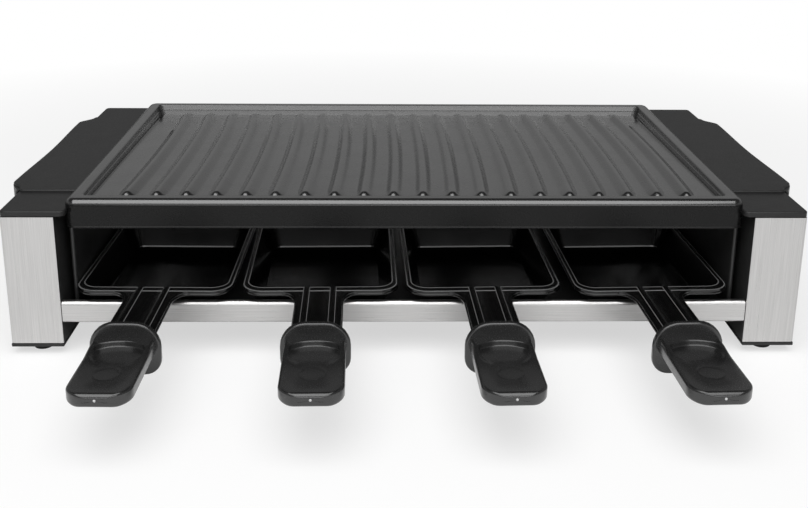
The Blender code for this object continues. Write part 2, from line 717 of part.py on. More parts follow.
def foot(name, side, end, look):
    """A rubber foot with a stepped bore for its screw."""
    x, y = foot_place(side, end)
    radius = FOOT_DIAMETER / 2
    profile = ((radius - FOOT_EDGE, 0), (radius, FOOT_EDGE), (radius, FOOT_HEIGHT))
    made = turned(name, profile, (x, y, 0), (0, 0, 1), look["rubber"])
    seat = BASE_SCREW_RECESS + SCREW_HEAD_THICKNESS + GAP
    recess = rod("foot_recess", SCREW_HEAD + 2 * GAP, (x, y, -OVERRUN), (x, y, seat), look["rubber"])
    return cut(made, recess, base_screw_hole("foot_bore", x, y, look["rubber"]))


def base_screw_hole(name, x, y, look):
    """A clearance hole along Z for a base screw."""
    top = HOUSING_LOW + COLUMN_WALL + BOSS_HEIGHT + OVERRUN
    return rod(name, SCREW_DIAMETER + 2 * GAP, (x, y, -OVERRUN), (x, y, top), look)


def base_screw(name, side, end, look):
    """The screw that holds a foot and the base to the housing."""
    x, y = foot_place(side, end)
    radius = SCREW_DIAMETER / 2
    top = HOUSING_LOW + COLUMN_WALL + BOSS_HEIGHT - BASE_SCREW_RECESS
    profile = (
        (SCREW_HEAD / 2, 0), (SCREW_HEAD / 2, SCREW_HEAD_THICKNESS), (radius, SCREW_HEAD_THICKNESS),
        (radius, top),
    )
    return turned(name, profile, (x, y, BASE_SCREW_RECESS), (0, 0, 1), look["bright"], 12)


def base(name, side, look):
    """The black trim plate under a column."""
    low = (side * COLUMN_INNER, -BODY_HALF_DEPTH, BASE_LOW)
    high = (side * COLUMN_OUTER, BODY_HALF_DEPTH, BASE_LOW + BASE_THICKNESS)
    made = block(name, low, high, look["plastic"], BASE_EDGE)
    places = [foot_place(side, end) for end in (-1, 1)]
    return cut(made, *[base_screw_hole("base_hole", x, y, look["plastic"]) for x, y in places])


def housing(name, side, look):
    """The moulded column that carries everything, open on its outer side."""
    black = look["plastic"]
    half_depth = BODY_HALF_DEPTH - COVER_SHEET - GAP
    low = (side * COLUMN_INNER, -half_depth, HOUSING_LOW)
    made = block(name, low, (side * (COVER_INSIDE - GAP), half_depth, HOUSING_HIGH), black)
    low = (side * (COLUMN_INNER + COLUMN_WALL), COLUMN_WALL - half_depth, HOUSING_LOW + COLUMN_WALL)
    high = (side * (COVER_INSIDE + OVERRUN), half_depth - COLUMN_WALL, HOUSING_HIGH - HOUSING_ROOF)
    cut(made, block("housing_room", low, high, black))
    for end in (-1, 1):
        at = (end * LINER_SCREW_AT, SCREW_HEIGHT)
        start = (side * (LINER_OUTER + GAP), *at)
        join(made, rod("liner_boss", BOSS_DIAMETER, start, (side * (COLUMN_INNER + GAP), *at), black))
        x, y = foot_place(side, end)
        floor = HOUSING_LOW + COLUMN_WALL
        start = (x, y, floor - GAP)
        join(made, rod("base_boss", BOSS_DIAMETER, start, (x, y, floor + BOSS_HEIGHT), black))
        cut(made, screw_hole("liner_boss_hole", side, end, black), base_screw_hole("boss_hole", x, y, black))
        at = (end * PIN_AT, PIN_HEIGHT)
        start = (side * (COLUMN_INNER - OVERRUN), *at)
        far = (side * (COLUMN_INNER + COLUMN_WALL + OVERRUN), *at)
        cut(made, rod("pin_hole", PIN_DIAMETER + 2 * GAP, start, far, black))
        if side > 0:
            cut(made, lead_hole("insulator_hole", end, INSULATOR_DIAMETER + 2 * GAP, black))
    if side > 0:
        cut(made, gland_hole("housing_gland_hole", black))
    return made


def control_place(y):
    return (COLUMN_OUTER, y, CONTROL_HEIGHT)


def cover_hole(name, y, diameter, look):
    """A hole along X through the outer wall of the right cover."""
    x, y, z = control_place(y)
    return rod(name, diameter, (x - COVER_SHEET - OVERRUN, y, z), (x + OVERRUN, y, z), look)


def gland_hole(name, look):
    """A hole along Y through the rear of the right column."""
    start = (COLUMN_MIDDLE, BODY_HALF_DEPTH - COVER_SHEET - COLUMN_WALL - OVERRUN, GLAND_HEIGHT)
    end = (COLUMN_MIDDLE, BODY_HALF_DEPTH + OVERRUN, GLAND_HEIGHT)
    return rod(name, GLAND_DIAMETER + 2 * GAP, start, end, look, 16)


def cover(name, side, look):
    """The steel sheet folded round the front, the outer side and the rear of a column."""
    half = BODY_HALF_DEPTH
    outer = arc(COLUMN_OUTER - COVER_BEND, half - COVER_BEND, COVER_BEND, 90, 0, 3)
    inner = arc(COLUMN_OUTER - COVER_BEND, half - COVER_BEND, COVER_BEND - COVER_SHEET, 0, 90, 3)
    rear = [(COLUMN_INNER, half), *outer]
    front = [(x, -y) for x, y in reversed(rear)]
    front_inner = [(x, -y) for x, y in reversed([*inner, (COLUMN_INNER, half - COVER_SHEET)])]
    outline = [*rear, *front, *front_inner, *inner, (COLUMN_INNER, half - COVER_SHEET)]
    rings = [[(side * x, y, z) for x, y in outline] for z in (HOUSING_LOW, HOUSING_HIGH)]
    made = loft(name, rings, look["brushed"])
    if side > 0:
        bright = look["brushed"]
        cut(made, cover_hole("shaft_hole", 0, SHAFT_DIAMETER + 4 * GAP, bright))
        cut(made, cover_hole("lamp_hole", LAMP_AT, LAMP_DIAMETER + 2 * GAP, bright))
        cut(made, gland_hole("cover_gland_hole", bright))
    return made


def carry_outline(inner, ramp_start):
    """The carry grip in plan: a ramp out at each end, a slight waist, and a straight inner edge."""
    reach = COLUMN_OUTER + CARRY_REACH
    waist = reach - CARRY_WAIST
    shoulder = CARRY_HALF_LENGTH - CARRY_RAMP
    front = [
        (inner, -CARRY_HALF_LENGTH), (ramp_start, -CARRY_HALF_LENGTH), (reach, -shoulder),
        ((reach + waist) / 2, -shoulder / 2),
    ]
    return [*front, (waist, 0), *[(x, -y) for x, y in reversed(front)]]


def carry_ring(side, outline, z, inset=0.0):
    """The carry grip's outline at a height, drawn in evenly by an inset."""
    lowest = min(x for x, _ in outline)
    highest = max(x for x, _ in outline)
    centre = (lowest + highest) / 2
    squeeze = 1 - 2 * inset / (highest - lowest)
    stretch = 1 - inset / CARRY_HALF_LENGTH
    return [(side * (centre + (x - centre) * squeeze), y * stretch, z) for x, y in outline]


def cap_ring(side, z, inset=0.0):
    """The outline of a column's flat top at a height, drawn in by an inset."""
    middle = (COLUMN_OUTER + COLUMN_INNER - CAP_OVERHANG) / 2
    half = (COLUMN_WIDTH + CAP_OVERHANG) / 2
    outline = rounded(half - inset, BODY_HALF_DEPTH - inset, CAP_CORNER - inset)
    return [(side * (middle + x), y, z) for x, y in outline]


def cap(name, side, look):
    """The black top of a column, with the raised carry grip that hangs over the outer side."""
    black = look["plastic"]
    rings = [cap_ring(side, CAP_LOW), cap_ring(side, CAP_HIGH - CAP_EDGE), cap_ring(side, CAP_HIGH, CAP_EDGE)]
    made = loft(name, rings, black)
    top = CAP_HIGH + CAP_RAISE
    over = carry_outline(COLUMN_INNER - CAP_OVERHANG, COLUMN_OUTER)
    raised_part = loft("raised_part", [
        carry_ring(side, over, CAP_LOW + CAP_THICKNESS / 2), carry_ring(side, over, top - CAP_EDGE),
        carry_ring(side, over, top, CAP_EDGE),
    ], black)
    beside = carry_outline(COLUMN_OUTER + GAP, COLUMN_OUTER + GAP + COVER_SHEET)
    low = top - CARRY_DEPTH
    flange = loft("carry_flange", [
        carry_ring(side, beside, low, CAP_EDGE), carry_ring(side, beside, low + CAP_EDGE),
        carry_ring(side, beside, CAP_LOW + CAP_THICKNESS),
    ], black)
    return join(made, raised_part, flange)


def deck(look):
    """The sheet that the pans stand on, with a lip turned down behind each beam."""
    half_length = COLUMN_INNER - GAP
    half_depth = beam_back() - GAP
    low = DECK_TOP - DECK_LIP
    outline = [
        (half_depth, low), (half_depth, DECK_TOP), (-half_depth, DECK_TOP), (-half_depth, low),
        (DECK_SHEET - half_depth, low), (DECK_SHEET - half_depth, DECK_TOP - DECK_SHEET),
        (half_depth - DECK_SHEET, DECK_TOP - DECK_SHEET), (half_depth - DECK_SHEET, low),
    ]
    rings = [[(x, y, z) for y, z in outline] for x in (-half_length, half_length)]
    loft("deck", rings, look["sheet"])


def beam_back():
    """How far out the beam's rear edge may lie and still clear the pans' drafted front wall."""
    depth_share = (PAN_TOP - BEAM_TOP) / (PAN_HEIGHT - PAN_SHEET)
    flange = PAN_FLANGE + PAN_FRONT_EXTRA
    wall = PAN_BACK_GAP / 2 + PAN_LENGTH - flange + PAN_SHEET - PAN_DRAFT * depth_share
    return wall + BEAM_CLEARANCE


def beam(name, end, look):
    """A channel of brushed steel between the columns, open towards the deck."""
    front = BEAM_FRONT
    back = beam_back()
    low = BEAM_TOP - BEAM_HEIGHT
    bend = min(BEAM_BEND, front - back)
    inside = max(bend - BEAM_SHEET, 0)
    outer_top = arc(front - bend, BEAM_TOP - bend, bend, 90, 0, 4)
    outer_low = arc(front - bend, low + bend, bend, 0, -90, 4)
    inner_low = arc(front - bend, low + bend, inside, -90, 0, 4)
    inner_top = arc(front - bend, BEAM_TOP - bend, inside, 0, 90, 4)
    outline = [
        (back, BEAM_TOP), *outer_top, *outer_low, (back, low), (back, low + BEAM_SHEET),
        *inner_low, *inner_top, (back, BEAM_TOP - BEAM_SHEET),
    ]
    half_length = COLUMN_INNER - GAP
    rings = [[(x, end * y, z) for y, z in outline] for x in (-half_length, half_length)]
    loft(name, rings, look["brushed"])


def thermostat(look):
    """The capillary thermostat behind the cover, with the shaft that carries the knob."""
    face = COVER_INSIDE - GAP
    x, y, z = control_place(0)
    low = (face - THERMOSTAT_DEPTH, y - THERMOSTAT_LENGTH / 2, z - THERMOSTAT_HEIGHT / 2)
    high = (face, y + THERMOSTAT_LENGTH / 2, z + THERMOSTAT_HEIGHT / 2)
    made = block("thermostat", low, high, look["bright"])
    shaft = rod("shaft", SHAFT_DIAMETER, (face - OVERRUN, y, z), (x + SHAFT_LENGTH, y, z), look["bright"])
    join(made, shaft)


def knob(look):
    """The round knob with a grip bar across its face, turning on the thermostat's shaft."""
    x, y, z = control_place(0)
    radius = KNOB_DIAMETER / 2
    face = KNOB_HEIGHT - KNOB_BAR_DEPTH
    profile = ((radius, 0), (radius, face / 2), (radius - KNOB_TAPER, face))
    seat = (x + GAP, y, z)
    made = turned("thermostat_knob", profile, seat, (1, 0, 0), look["plastic"], 24)
    reach = radius - 2 * KNOB_TAPER
    low = (face / 2, -KNOB_BAR_WIDTH / 2, -reach)
    bar = block("knob_bar", low, (KNOB_HEIGHT, KNOB_BAR_WIDTH / 2, reach), look["plastic"], KNOB_TAPER, seat)
    end = (x + SHAFT_LENGTH + GAP, y, z)
    bore = rod("knob_bore", SHAFT_DIAMETER + 2 * GAP, (x - OVERRUN, y, z), end, look["plastic"])
    cut(join(made, bar), bore)


def pilot_lamp(look):
    """The lens of the pilot lamp, flanged outside the cover."""
    x, y, z = control_place(LAMP_AT)
    radius = LAMP_DIAMETER / 2
    profile = (
        (radius, 0), (radius, LAMP_DEPTH + GAP), (LAMP_FLANGE / 2, LAMP_DEPTH + GAP),
        (LAMP_FLANGE / 2, LAMP_DEPTH + LAMP_FLANGE_THICKNESS / 2),
        (radius - GAP, LAMP_DEPTH + LAMP_FLANGE_THICKNESS),
    )
    turned("pilot_lamp", profile, (x - LAMP_DEPTH, y, z), (1, 0, 0), look["lens"])


def thermal_cutout(look):
    """The safety cut-out, flat against the hot inner wall of the right column."""
    wall = COLUMN_INNER + COLUMN_WALL + GAP
    radius = CUTOUT_DIAMETER / 2
    profile = ((radius, 0), (radius, CUTOUT_THICKNESS / 2), (radius * 3 / 4, CUTOUT_THICKNESS / 2),
               (radius * 3 / 4, CUTOUT_THICKNESS))
    turned("thermal_cutout", profile, (wall, CUTOUT_AT, CUTOUT_HEIGHT), (1, 0, 0), look["bakelite"])


def terminal_block(look):
    """The terminals where the supply meets the inner wiring, on the right column's floor."""
    floor = HOUSING_LOW + COLUMN_WALL + GAP
    low = (COLUMN_MIDDLE - BLOCK_WIDTH / 2, BLOCK_AT - BLOCK_LENGTH / 2, floor)
    high = (COLUMN_MIDDLE + BLOCK_WIDTH / 2, BLOCK_AT + BLOCK_LENGTH / 2, floor + BLOCK_HEIGHT)
    block("terminal_block", low, high, look["ceramic"])


def cable_gland(look):
    """The bush at the rear of the right column where the supply cord goes in."""
    neck_radius = GLAND_DIAMETER / 2
    profile = (
        (neck_radius, -GLAND_REACH), (neck_radius, GAP), (GLAND_FLANGE / 2, GAP),
        (GLAND_FLANGE / 2, GLAND_FLANGE_THICKNESS / 2), (neck_radius, GLAND_FLANGE_THICKNESS),
    )
    place = (COLUMN_MIDDLE, BODY_HALF_DEPTH, GLAND_HEIGHT)
    made = turned("cable_gland", profile, place, (0, 1, 0), look["rubber"])
    start = (COLUMN_MIDDLE, BODY_HALF_DEPTH - GLAND_REACH - OVERRUN, GLAND_HEIGHT)
    end = (COLUMN_MIDDLE, BODY_HALF_DEPTH + GLAND_FLANGE_THICKNESS + OVERRUN, GLAND_HEIGHT)
    cut(made, rod("gland_bore", GLAND_BORE, start, end, look["rubber"], 16))


def columns(look):
    """Both columns with what is fixed to them."""
    for side, word in ((-1, "left"), (1, "right")):
        housing(f"{word}_housing", side, look)
        cover(f"{word}_steel_cover", side, look)
        cap(f"{word}_cap", side, look)
        base(f"{word}_base", side, look)
        liner(f"{word}_liner", side, look)
        bracket(f"{word}_element_bracket", side, look)
        for end, where in ((-1, "front"), (1, "rear")):
            foot(f"foot_{where}_{word}", side, end, look)
            base_screw(f"base_screw_{where}_{word}", side, end, look)
            plate_pin(f"plate_pin_{where}_{word}", side, end, look)
            liner_screw(f"liner_screw_{where}_{word}", side, end, look)


def main():
    for thing in list(bpy.data.objects):
        bpy.data.objects.remove(thing, do_unlink=True)
    look = finishes()
    columns(look)
    deck(look)
    for end, where in ((-1, "front"), (1, "rear")):
        beam(f"{where}_beam", end, look)
        insulator(f"element_insulator_{where}", end, look)
    element(look)
    grill_plate(look)
    pans_and_grips(look)
    thermostat(look)
    knob(look)
    pilot_lamp(look)
    thermal_cutout(look)
    terminal_block(look)
    cable_gland(look)


main()
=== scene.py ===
"""Raclette grill for eight: the looks of its plate, pans, grips, columns and fittings."""

import math

import bpy
import numpy as np
from mathutils import Matrix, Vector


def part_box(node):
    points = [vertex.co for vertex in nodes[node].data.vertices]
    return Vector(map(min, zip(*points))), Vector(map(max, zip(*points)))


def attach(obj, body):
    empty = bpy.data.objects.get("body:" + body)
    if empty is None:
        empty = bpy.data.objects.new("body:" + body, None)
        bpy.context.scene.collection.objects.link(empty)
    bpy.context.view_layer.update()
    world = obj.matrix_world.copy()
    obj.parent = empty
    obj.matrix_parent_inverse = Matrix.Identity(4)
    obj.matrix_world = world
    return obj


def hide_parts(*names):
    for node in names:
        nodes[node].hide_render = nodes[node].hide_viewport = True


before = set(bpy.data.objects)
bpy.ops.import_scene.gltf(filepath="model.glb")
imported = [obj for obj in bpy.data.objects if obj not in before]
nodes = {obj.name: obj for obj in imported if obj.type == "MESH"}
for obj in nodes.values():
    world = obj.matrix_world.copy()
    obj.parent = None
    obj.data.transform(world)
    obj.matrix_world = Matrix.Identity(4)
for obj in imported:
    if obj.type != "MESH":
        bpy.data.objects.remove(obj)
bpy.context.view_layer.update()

MM = 0.001
TURN = 2 * math.pi
HOLD = 0.25 * MM
SHOULDER = 4.2 * MM
PAN_HEIGHT = 17.2 * MM


# Grids, rings and meshes

NO_FANS = np.zeros((0, 3), int)


def unit(vectors):
    """Each vector over its own length."""
    return vectors / np.linalg.norm(vectors, axis=-1, keepdims=True)


def smooth_step(value, start, end):
    """From 0 to 1 as a value goes from start to end, level at both: s squared times three less 2 s."""
    share = np.clip((value - start) / (end - start), 0, 1)
    return share * share * (3 - 2 * share)


def eased(corners, radii, steps=5, hold=HOLD):
    """A broken line with each inner corner an arc: of radius r, it starts r times the tangent of half the
    turn before the corner. A point just outside each arc keeps the flat beside it flat."""
    corners = np.asarray(corners, float)
    path = [corners[:1]]
    for before, corner, after, radius in zip(corners, corners[1:], corners[2:], radii):
        into, out = unit(corner - before), unit(after - corner)
        cross = into[0] * out[1] - into[1] * out[0]
        turn = math.atan2(abs(cross), float(into @ out))
        normal = np.copysign(1, cross) * np.array((-into[1], into[0]))
        start = corner - into * radius * math.tan(turn / 2)
        end = corner + out * radius * math.tan(turn / 2)
        t = np.linspace(0, turn, steps + 1)[:, None]
        arc = start + normal * radius * (1 - np.cos(t)) + into * radius * np.sin(t)
        path += [start[None] - into * hold, arc, end[None] + out * hold]
    return np.vstack([*path, corners[-1:]])


def eased_mm(corners, radii, steps=5, hold=HOLD):
    """The same, from corners and radii in millimetres."""
    return eased(np.array(corners) * MM, np.array(radii) * MM, steps, hold)


def edge_section(heights, insets, radii, steps=5, hold=HOLD):
    """The edge of a plate between two heights, in millimetres: its inset is nothing at the edge, and the
    insets say how far its underside and its top are drawn."""
    (low, high), (under, over) = heights, insets
    return eased_mm([(under, low), (0, low), (0, high), (over, high)], radii, steps, hold)


def round_rectangle(half_x, half_y, radius, steps=8):
    """A rectangle with round corners as a closed loop: each corner's centre is the half size less the radius,
    and the corner a quarter circle about it. Arrays of sizes give one loop for each."""
    sizes = (np.atleast_1d(size).astype(float) for size in (half_x, half_y, radius))
    half_x, half_y, radius = np.broadcast_arrays(*sizes)
    angle = np.concatenate([np.linspace(q, q + 1, steps + 1) for q in range(4)]) * math.pi / 2
    side_x = np.repeat((1, -1, -1, 1), steps + 1)
    side_y = np.repeat((1, 1, -1, -1), steps + 1)
    x = side_x * (half_x - radius)[:, None] + radius[:, None] * np.cos(angle)
    y = side_y * (half_y - radius)[:, None] + radius[:, None] * np.sin(angle)
    return np.stack([x, y], -1)


def raised(loops, heights):
    """Flat loops at their heights, as rings of points."""
    heights = np.broadcast_to(heights[:, None, None], (*loops.shape[:2], 1))
    return np.concatenate([loops, heights], -1)


def grid_quads(rows, columns, closed):
    """The four corners of each cell of a grid, whose columns may close on themselves."""
    row, column = np.meshgrid(np.arange(rows - 1), np.arange(columns - (not closed)), indexing="ij")
    beside = (column + 1) % columns
    low, high = row * columns, (row + 1) * columns
    cells = [low + column, low + beside, high + beside, high + column]
    return np.stack(cells, -1).reshape(-1, 4)


def outwards(points, quads, fans=NO_FANS):
    """The faces turned round where the volume, a sixth of the sum of triple products, is negative."""
    split = np.vstack([quads[:, :3], quads[:, [0, 2, 3]], fans])
    a, b, c = (points[split[:, i]] for i in range(3))
    if np.einsum("ij,ij->i", a, np.cross(b, c)).sum() < 0:
        return points, quads[:, ::-1], fans[:, ::-1]
    return points, quads, fans


def shell(rings, middle=None):
    """Rings of points joined in turn, each end closed by a fan to its mean, or to a middle given in plan."""
    count, around = rings.shape[:2]
    ends = np.array([rings[0].mean(0), rings[-1].mean(0)])
    if middle is not None:
        ends[:, :2] = middle
    points = np.vstack([rings.reshape(-1, 3), ends])
    quads = grid_quads(count, around, True)
    here = np.arange(around)
    beyond = (here + 1) % around
    low = np.full(around, count * around)
    last = (count - 1) * around
    fans = np.vstack([np.stack([beyond, here, low], -1), np.stack([here + last, beyond + last, low + 1], -1)])
    return outwards(points, quads, fans)


def hollow(rings):
    """Rings joined in turn, and the last to the first, into a body with a hole through it."""
    count, around = rings.shape[:2]
    return outwards(rings.reshape(-1, 3), grid_quads(count + 1, around, True) % (count * around))


def slab(top, under):
    """Two grids of the same size joined round their edges into one closed body."""
    rows, columns = top.shape[:2]
    points = np.vstack([top.reshape(-1, 3), under.reshape(-1, 3)])
    cells = grid_quads(rows, columns, False)
    index = np.arange(rows * columns).reshape(rows, columns)
    edge = np.concatenate([index[0], index[1:, -1], index[-1, -2::-1], index[-2:0:-1, 0]])
    nxt = np.roll(edge, -1)
    shift = rows * columns
    sides = np.stack([edge, edge + shift, nxt + shift, nxt], -1)
    quads = np.vstack([cells, cells[:, ::-1] + shift, sides])
    return outwards(points, quads)


def middle_of(node):
    """The middle of a CAD node's box."""
    low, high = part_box(node)
    return [(low[i] + high[i]) / 2 for i in range(3)]


def placed(part, x, y, turn):
    """A shell turned about the vertical and then moved."""
    points, *faces = part
    c, s = math.cos(turn), math.sin(turn)
    moved = points @ np.array(((c, s, 0), (-s, c, 0), (0, 0, 1))) + (x, y, 0)
    return (moved, *faces)


def mirrored(part):
    """A shell on the other side of the middle plane x = 0, its faces turned round to stay outwards."""
    points, quads, fans = part
    return points * (-1, 1, 1), quads[:, ::-1], fans[:, ::-1]


def linked(name, data):
    """A new object in the scene."""
    made = bpy.data.objects.new(name, data)
    bpy.context.scene.collection.objects.link(made)
    return made


def piece(name, parts, look, body, replaced=None, sharp=40):
    """One object of several shells, riding on its body and standing for a CAD node where one is named."""
    starts = np.cumsum([0, *(len(part[0]) for part in parts)])
    points = np.vstack([part[0] for part in parts])
    quads, fans = (np.vstack([part[i] + start for part, start in zip(parts, starts)]) for i in (1, 2))
    mesh = bpy.data.meshes.new(name)
    mesh.from_pydata(points, [], quads.tolist() + fans.tolist())
    mesh.shade_smooth()
    mesh.set_sharp_from_angle(angle=math.radians(sharp))
    mesh.materials.append(look)
    made = linked(name, mesh)
    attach(made, body)
    if replaced:
        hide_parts(replaced)


def rings_round(profile, centre, axis, sides):
    """A profile of (radius, distance along the axis) carried round the axis: radius times cosine and sine."""
    angle = np.arange(sides) * TURN / sides
    across = profile[:, :1] * np.cos(angle)
    up = profile[:, :1] * np.sin(angle)
    along = np.broadcast_to(profile[:, 1:], across.shape)
    order = {"z": (across, up, along), "x": (along, across, up), "y": (up, along, across)}[axis]
    return np.stack(order, -1) + centre


def turned(profile, centre, axis="z", sides=48):
    """A round body with a profile, closed at both ends."""
    return shell(rings_round(profile, centre, axis, sides))


def folded(path, thickness, rows, order="xyz"):
    """A bent sheet: its section's centre line carried straight through the rows, each side half the thickness
    off along the line's normal, longer at a bend by one over the cosine of half the turn. The order says
    which axes the section's first and second values and the rows run along."""
    step = unit(np.diff(path, axis=0))
    before = np.vstack([step[:1], step])
    after = np.vstack([step, step[-1:]])
    along = unit(before + after)
    normal = np.stack([-along[:, 1], along[:, 0]], -1)
    normal /= np.einsum("ij,ij->i", along, before)[:, None]
    outline = np.vstack([path + normal * thickness / 2, (path - normal * thickness / 2)[::-1]])
    rows = np.asarray(rows, float)
    flat = np.broadcast_to(outline, (len(rows), *outline.shape))
    rings = np.concatenate([flat, np.broadcast_to(rows[:, None, None], (*flat.shape[:2], 1))], -1)
    rings = rings[..., [order.index(axis) for axis in "xyz"]]
    points, quads, _ = shell(rings)
    count = len(path)
    here = np.arange(count - 1)
    strip = np.stack([here, here + 1, 2 * count - 2 - here, 2 * count - 1 - here], -1)
    far = strip + (len(rows) - 1) * 2 * count
    same_way = (quads[0, 0] == 0) == (quads[0, 1] == 1)
    ends = [strip[:, ::-1], far] if same_way else [strip, far[:, ::-1]]
    return points[:-2], np.vstack([quads, *ends]), NO_FANS


def tube(path, radius, sides=20):
    """A round bar along a path of points: circles across it, carried from point to point without twist."""
    tangent = unit(np.gradient(path, axis=0))
    up = np.broadcast_to((0.0, 0.0, 1.0), tangent.shape)
    side = unit(np.cross(tangent, up))
    up = np.cross(side, tangent)
    angle = (np.arange(sides) * TURN / sides)[None, :, None]
    return shell(path[:, None] + radius * (np.cos(angle) * side[:, None] + np.sin(angle) * up[:, None]))


# Finishes

def hue(value, warm=0.0):
    """A grey, warmed a little, as a colour."""
    return (value * (1 + warm), value, value * (1 - warm), 1.0)


def feed(tree, socket, value):
    """A socket linked to an output, or given a value of its own."""
    if isinstance(value, bpy.types.NodeSocket):
        tree.links.new(value, socket)
    else:
        socket.default_value = value


def math_node(tree, kind, first, second, clamped=False):
    """Two numbers or outputs worked into one."""
    made = tree.nodes.new("ShaderNodeMath")
    made.operation, made.use_clamp = kind, clamped
    feed(tree, made.inputs[0], first)
    feed(tree, made.inputs[1], second)
    return made.outputs[0]


def axes_node(tree, place):
    """The X, Y and Z of a place."""
    made = tree.nodes.new("ShaderNodeSeparateXYZ")
    tree.links.new(place, made.inputs[0])
    return made.outputs


def ramp_node(tree, source, low, high, start, end, kind="LINEAR"):
    """A value between two others as a source goes from its start to its end."""
    made = tree.nodes.new("ShaderNodeMapRange")
    made.interpolation_type = kind
    for key, value in (("From Min", start), ("From Max", end), ("To Min", low), ("To Max", high)):
        made.inputs[key].default_value = value
    tree.links.new(source, made.inputs["Value"])
    return made.outputs["Result"]


class Finish:
    """A Principled material with helpers for noise on Object coordinates."""

    def __init__(self, name, colour, roughness, metallic=0.0):
        self.material = bpy.data.materials.new(name)
        self.material.use_nodes = True
        self.tree = self.material.node_tree
        self.shader = self.tree.nodes["Principled BSDF"]
        self.set("Base Color", colour)
        self.set("Roughness", roughness)
        self.set("Metallic", metallic)
        self.place = self.node("ShaderNodeTexCoord").outputs["Object"]

    def node(self, kind, **settings):
        made = self.tree.nodes.new(kind)
        for key, value in settings.items():
            setattr(made, key, value)
        return made

    def link(self, output, socket):
        self.tree.links.new(output, socket)

    def set(self, socket, value):
        self.shader.inputs[socket].default_value = value
        return self

    def noise(self, scale, detail=3.0, stretch=(1, 1, 1), kind="ShaderNodeTexNoise"):
        """A pattern of a scale per metre, stretched along some axes."""
        mapping = self.node("ShaderNodeMapping")
        mapping.inputs["Scale"].default_value = stretch
        self.link(self.place, mapping.inputs["Vector"])
        made = self.node(kind)
        made.inputs["Scale"].default_value = scale
        made.inputs["Detail"].default_value = detail
        self.link(mapping.outputs["Vector"], made.inputs["Vector"])
        return made.outputs[0]

    def spread(self, source, low, high, start=0.3, end=0.7):
        return ramp_node(self.tree, source, low, high, start, end)

    def roughness(self, source, low, high, start=0.3, end=0.7):
        self.link(self.spread(source, low, high, start, end), self.shader.inputs["Roughness"])
        return self

    def mixed(self, share, low, high):
        """A colour between two others, each a colour or an output, by a share from 0 to 1."""
        mix = self.node("ShaderNodeMix", data_type="RGBA")
        for index, value in ((0, share), (6, low), (7, high)):
            feed(self.tree, mix.inputs[index], value)
        return mix.outputs[2]

    def combined(self, kind, first, second):
        return math_node(self.tree, kind, first, second)

    def colour(self, source, low, high, start=0.3, end=0.7):
        """The base colour between two others by a pattern."""
        share = self.spread(source, 0.0, 1.0, start, end)
        self.link(self.mixed(share, low, high), self.shader.inputs["Base Color"])
        return self

    def bump(self, source, height, strength):
        """A relief of a height in metres."""
        made = self.node("ShaderNodeBump")
        made.inputs["Strength"].default_value = strength
        made.inputs["Distance"].default_value = height
        self.link(source, made.inputs["Height"])
        self.link(made.outputs["Normal"], self.shader.inputs["Normal"])
        return self


def cast_look():
    """Satin non-stick on a casting, with fine grains that catch the light. The cooking side is glossier than
    the skirt, which is what lies outside the rim's shoulder and below it; the skirt's darker, less grey
    base colour is painted shade."""
    look = Finish("cast_nonstick", hue(0.03), 0.28)
    place = [look.node("ShaderNodeVectorMath", operation=kind) for kind in ("ABSOLUTE", "SUBTRACT")]
    look.link(look.place, place[0].inputs[0])
    look.link(place[0].outputs[0], place[1].inputs[0])
    place[1].inputs[1].default_value = [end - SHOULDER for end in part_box("grill_plate")[1]]
    past = axes_node(look.tree, place[1].outputs[0])
    beyond = look.combined("MAXIMUM", past["X"], past["Y"])
    outside = look.spread(beyond, 0.0, 1.0, 0.0, 0.0005)
    below = look.spread(past["Z"], 1.0, 0.0, 0.0008, 0.0020)
    upper = look.spread(look.combined("MULTIPLY", outside, below), 1.0, 0.0, 0.0, 1.0)
    grains = look.spread(look.noise(1700, 3), 0.0, 1.0, 0.35, 0.68)
    # painted shade: the skirt's base colour is darker than the cooking side's
    painted_shade_skirt = look.mixed(grains, hue(0.002), hue(0.012))
    floor = look.mixed(grains, hue(0.006), hue(0.015))
    look.link(look.spread(upper, 0.20, 0.60, 0, 1), look.shader.inputs["Specular IOR Level"])
    look.link(look.spread(upper, 0.0, 0.9, 0, 1), look.shader.inputs["Coat Weight"])
    look.set("Coat Roughness", 0.14).set("Coat IOR", 1.7)
    look.link(look.mixed(upper, painted_shade_skirt, floor), look.shader.inputs["Base Color"])
    look.roughness(look.noise(60, 3), 0.24, 0.30)
    look.bump(look.noise(2600, 2), 0.00003, 0.4)
    return look.material


def pan_look():
    """Smooth black non-stick, its gloss a little uneven, with a painted highlight: light grey at the height
    of the edges that stand just over the flange."""
    look = Finish("pan_nonstick", hue(0.003), 0.17).set("Specular IOR Level", 0.55)
    height = axes_node(look.tree, look.place)["Z"]
    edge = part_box("pan_front_1")[0].z + PAN_HEIGHT
    over = look.spread(height, 0.0, 1.0, edge + 0.06 * MM, edge + 0.2 * MM)
    under = look.spread(height, 1.0, 0.0, edge + 0.34 * MM, edge + 0.42 * MM)
    # painted highlight: a thin light grey band along the edges just over the flange
    painted_rim_highlight = look.combined("MULTIPLY", over, under)
    look.link(look.mixed(painted_rim_highlight, hue(0.003), hue(0.16)), look.shader.inputs["Base Color"])
    look.roughness(look.noise(30, 2), 0.15, 0.19)
    return look.material


def moulded_look(name, value, roughness, grain, relief, specular=0.35, coat=0.0):
    """Moulded plastic with a fine spark-eroded grain."""
    look = Finish(name, hue(value), roughness).set("Specular IOR Level", specular)
    if coat:
        look.set("Coat Weight", coat).set("Coat Roughness", 0.12)
    pattern = look.noise(grain, 3)
    look.colour(look.noise(140, 3), hue(value * 0.88), hue(value * 1.12))
    look.roughness(pattern, roughness - 0.05, roughness + 0.05)
    look.bump(pattern, relief, 0.6)
    return look.material


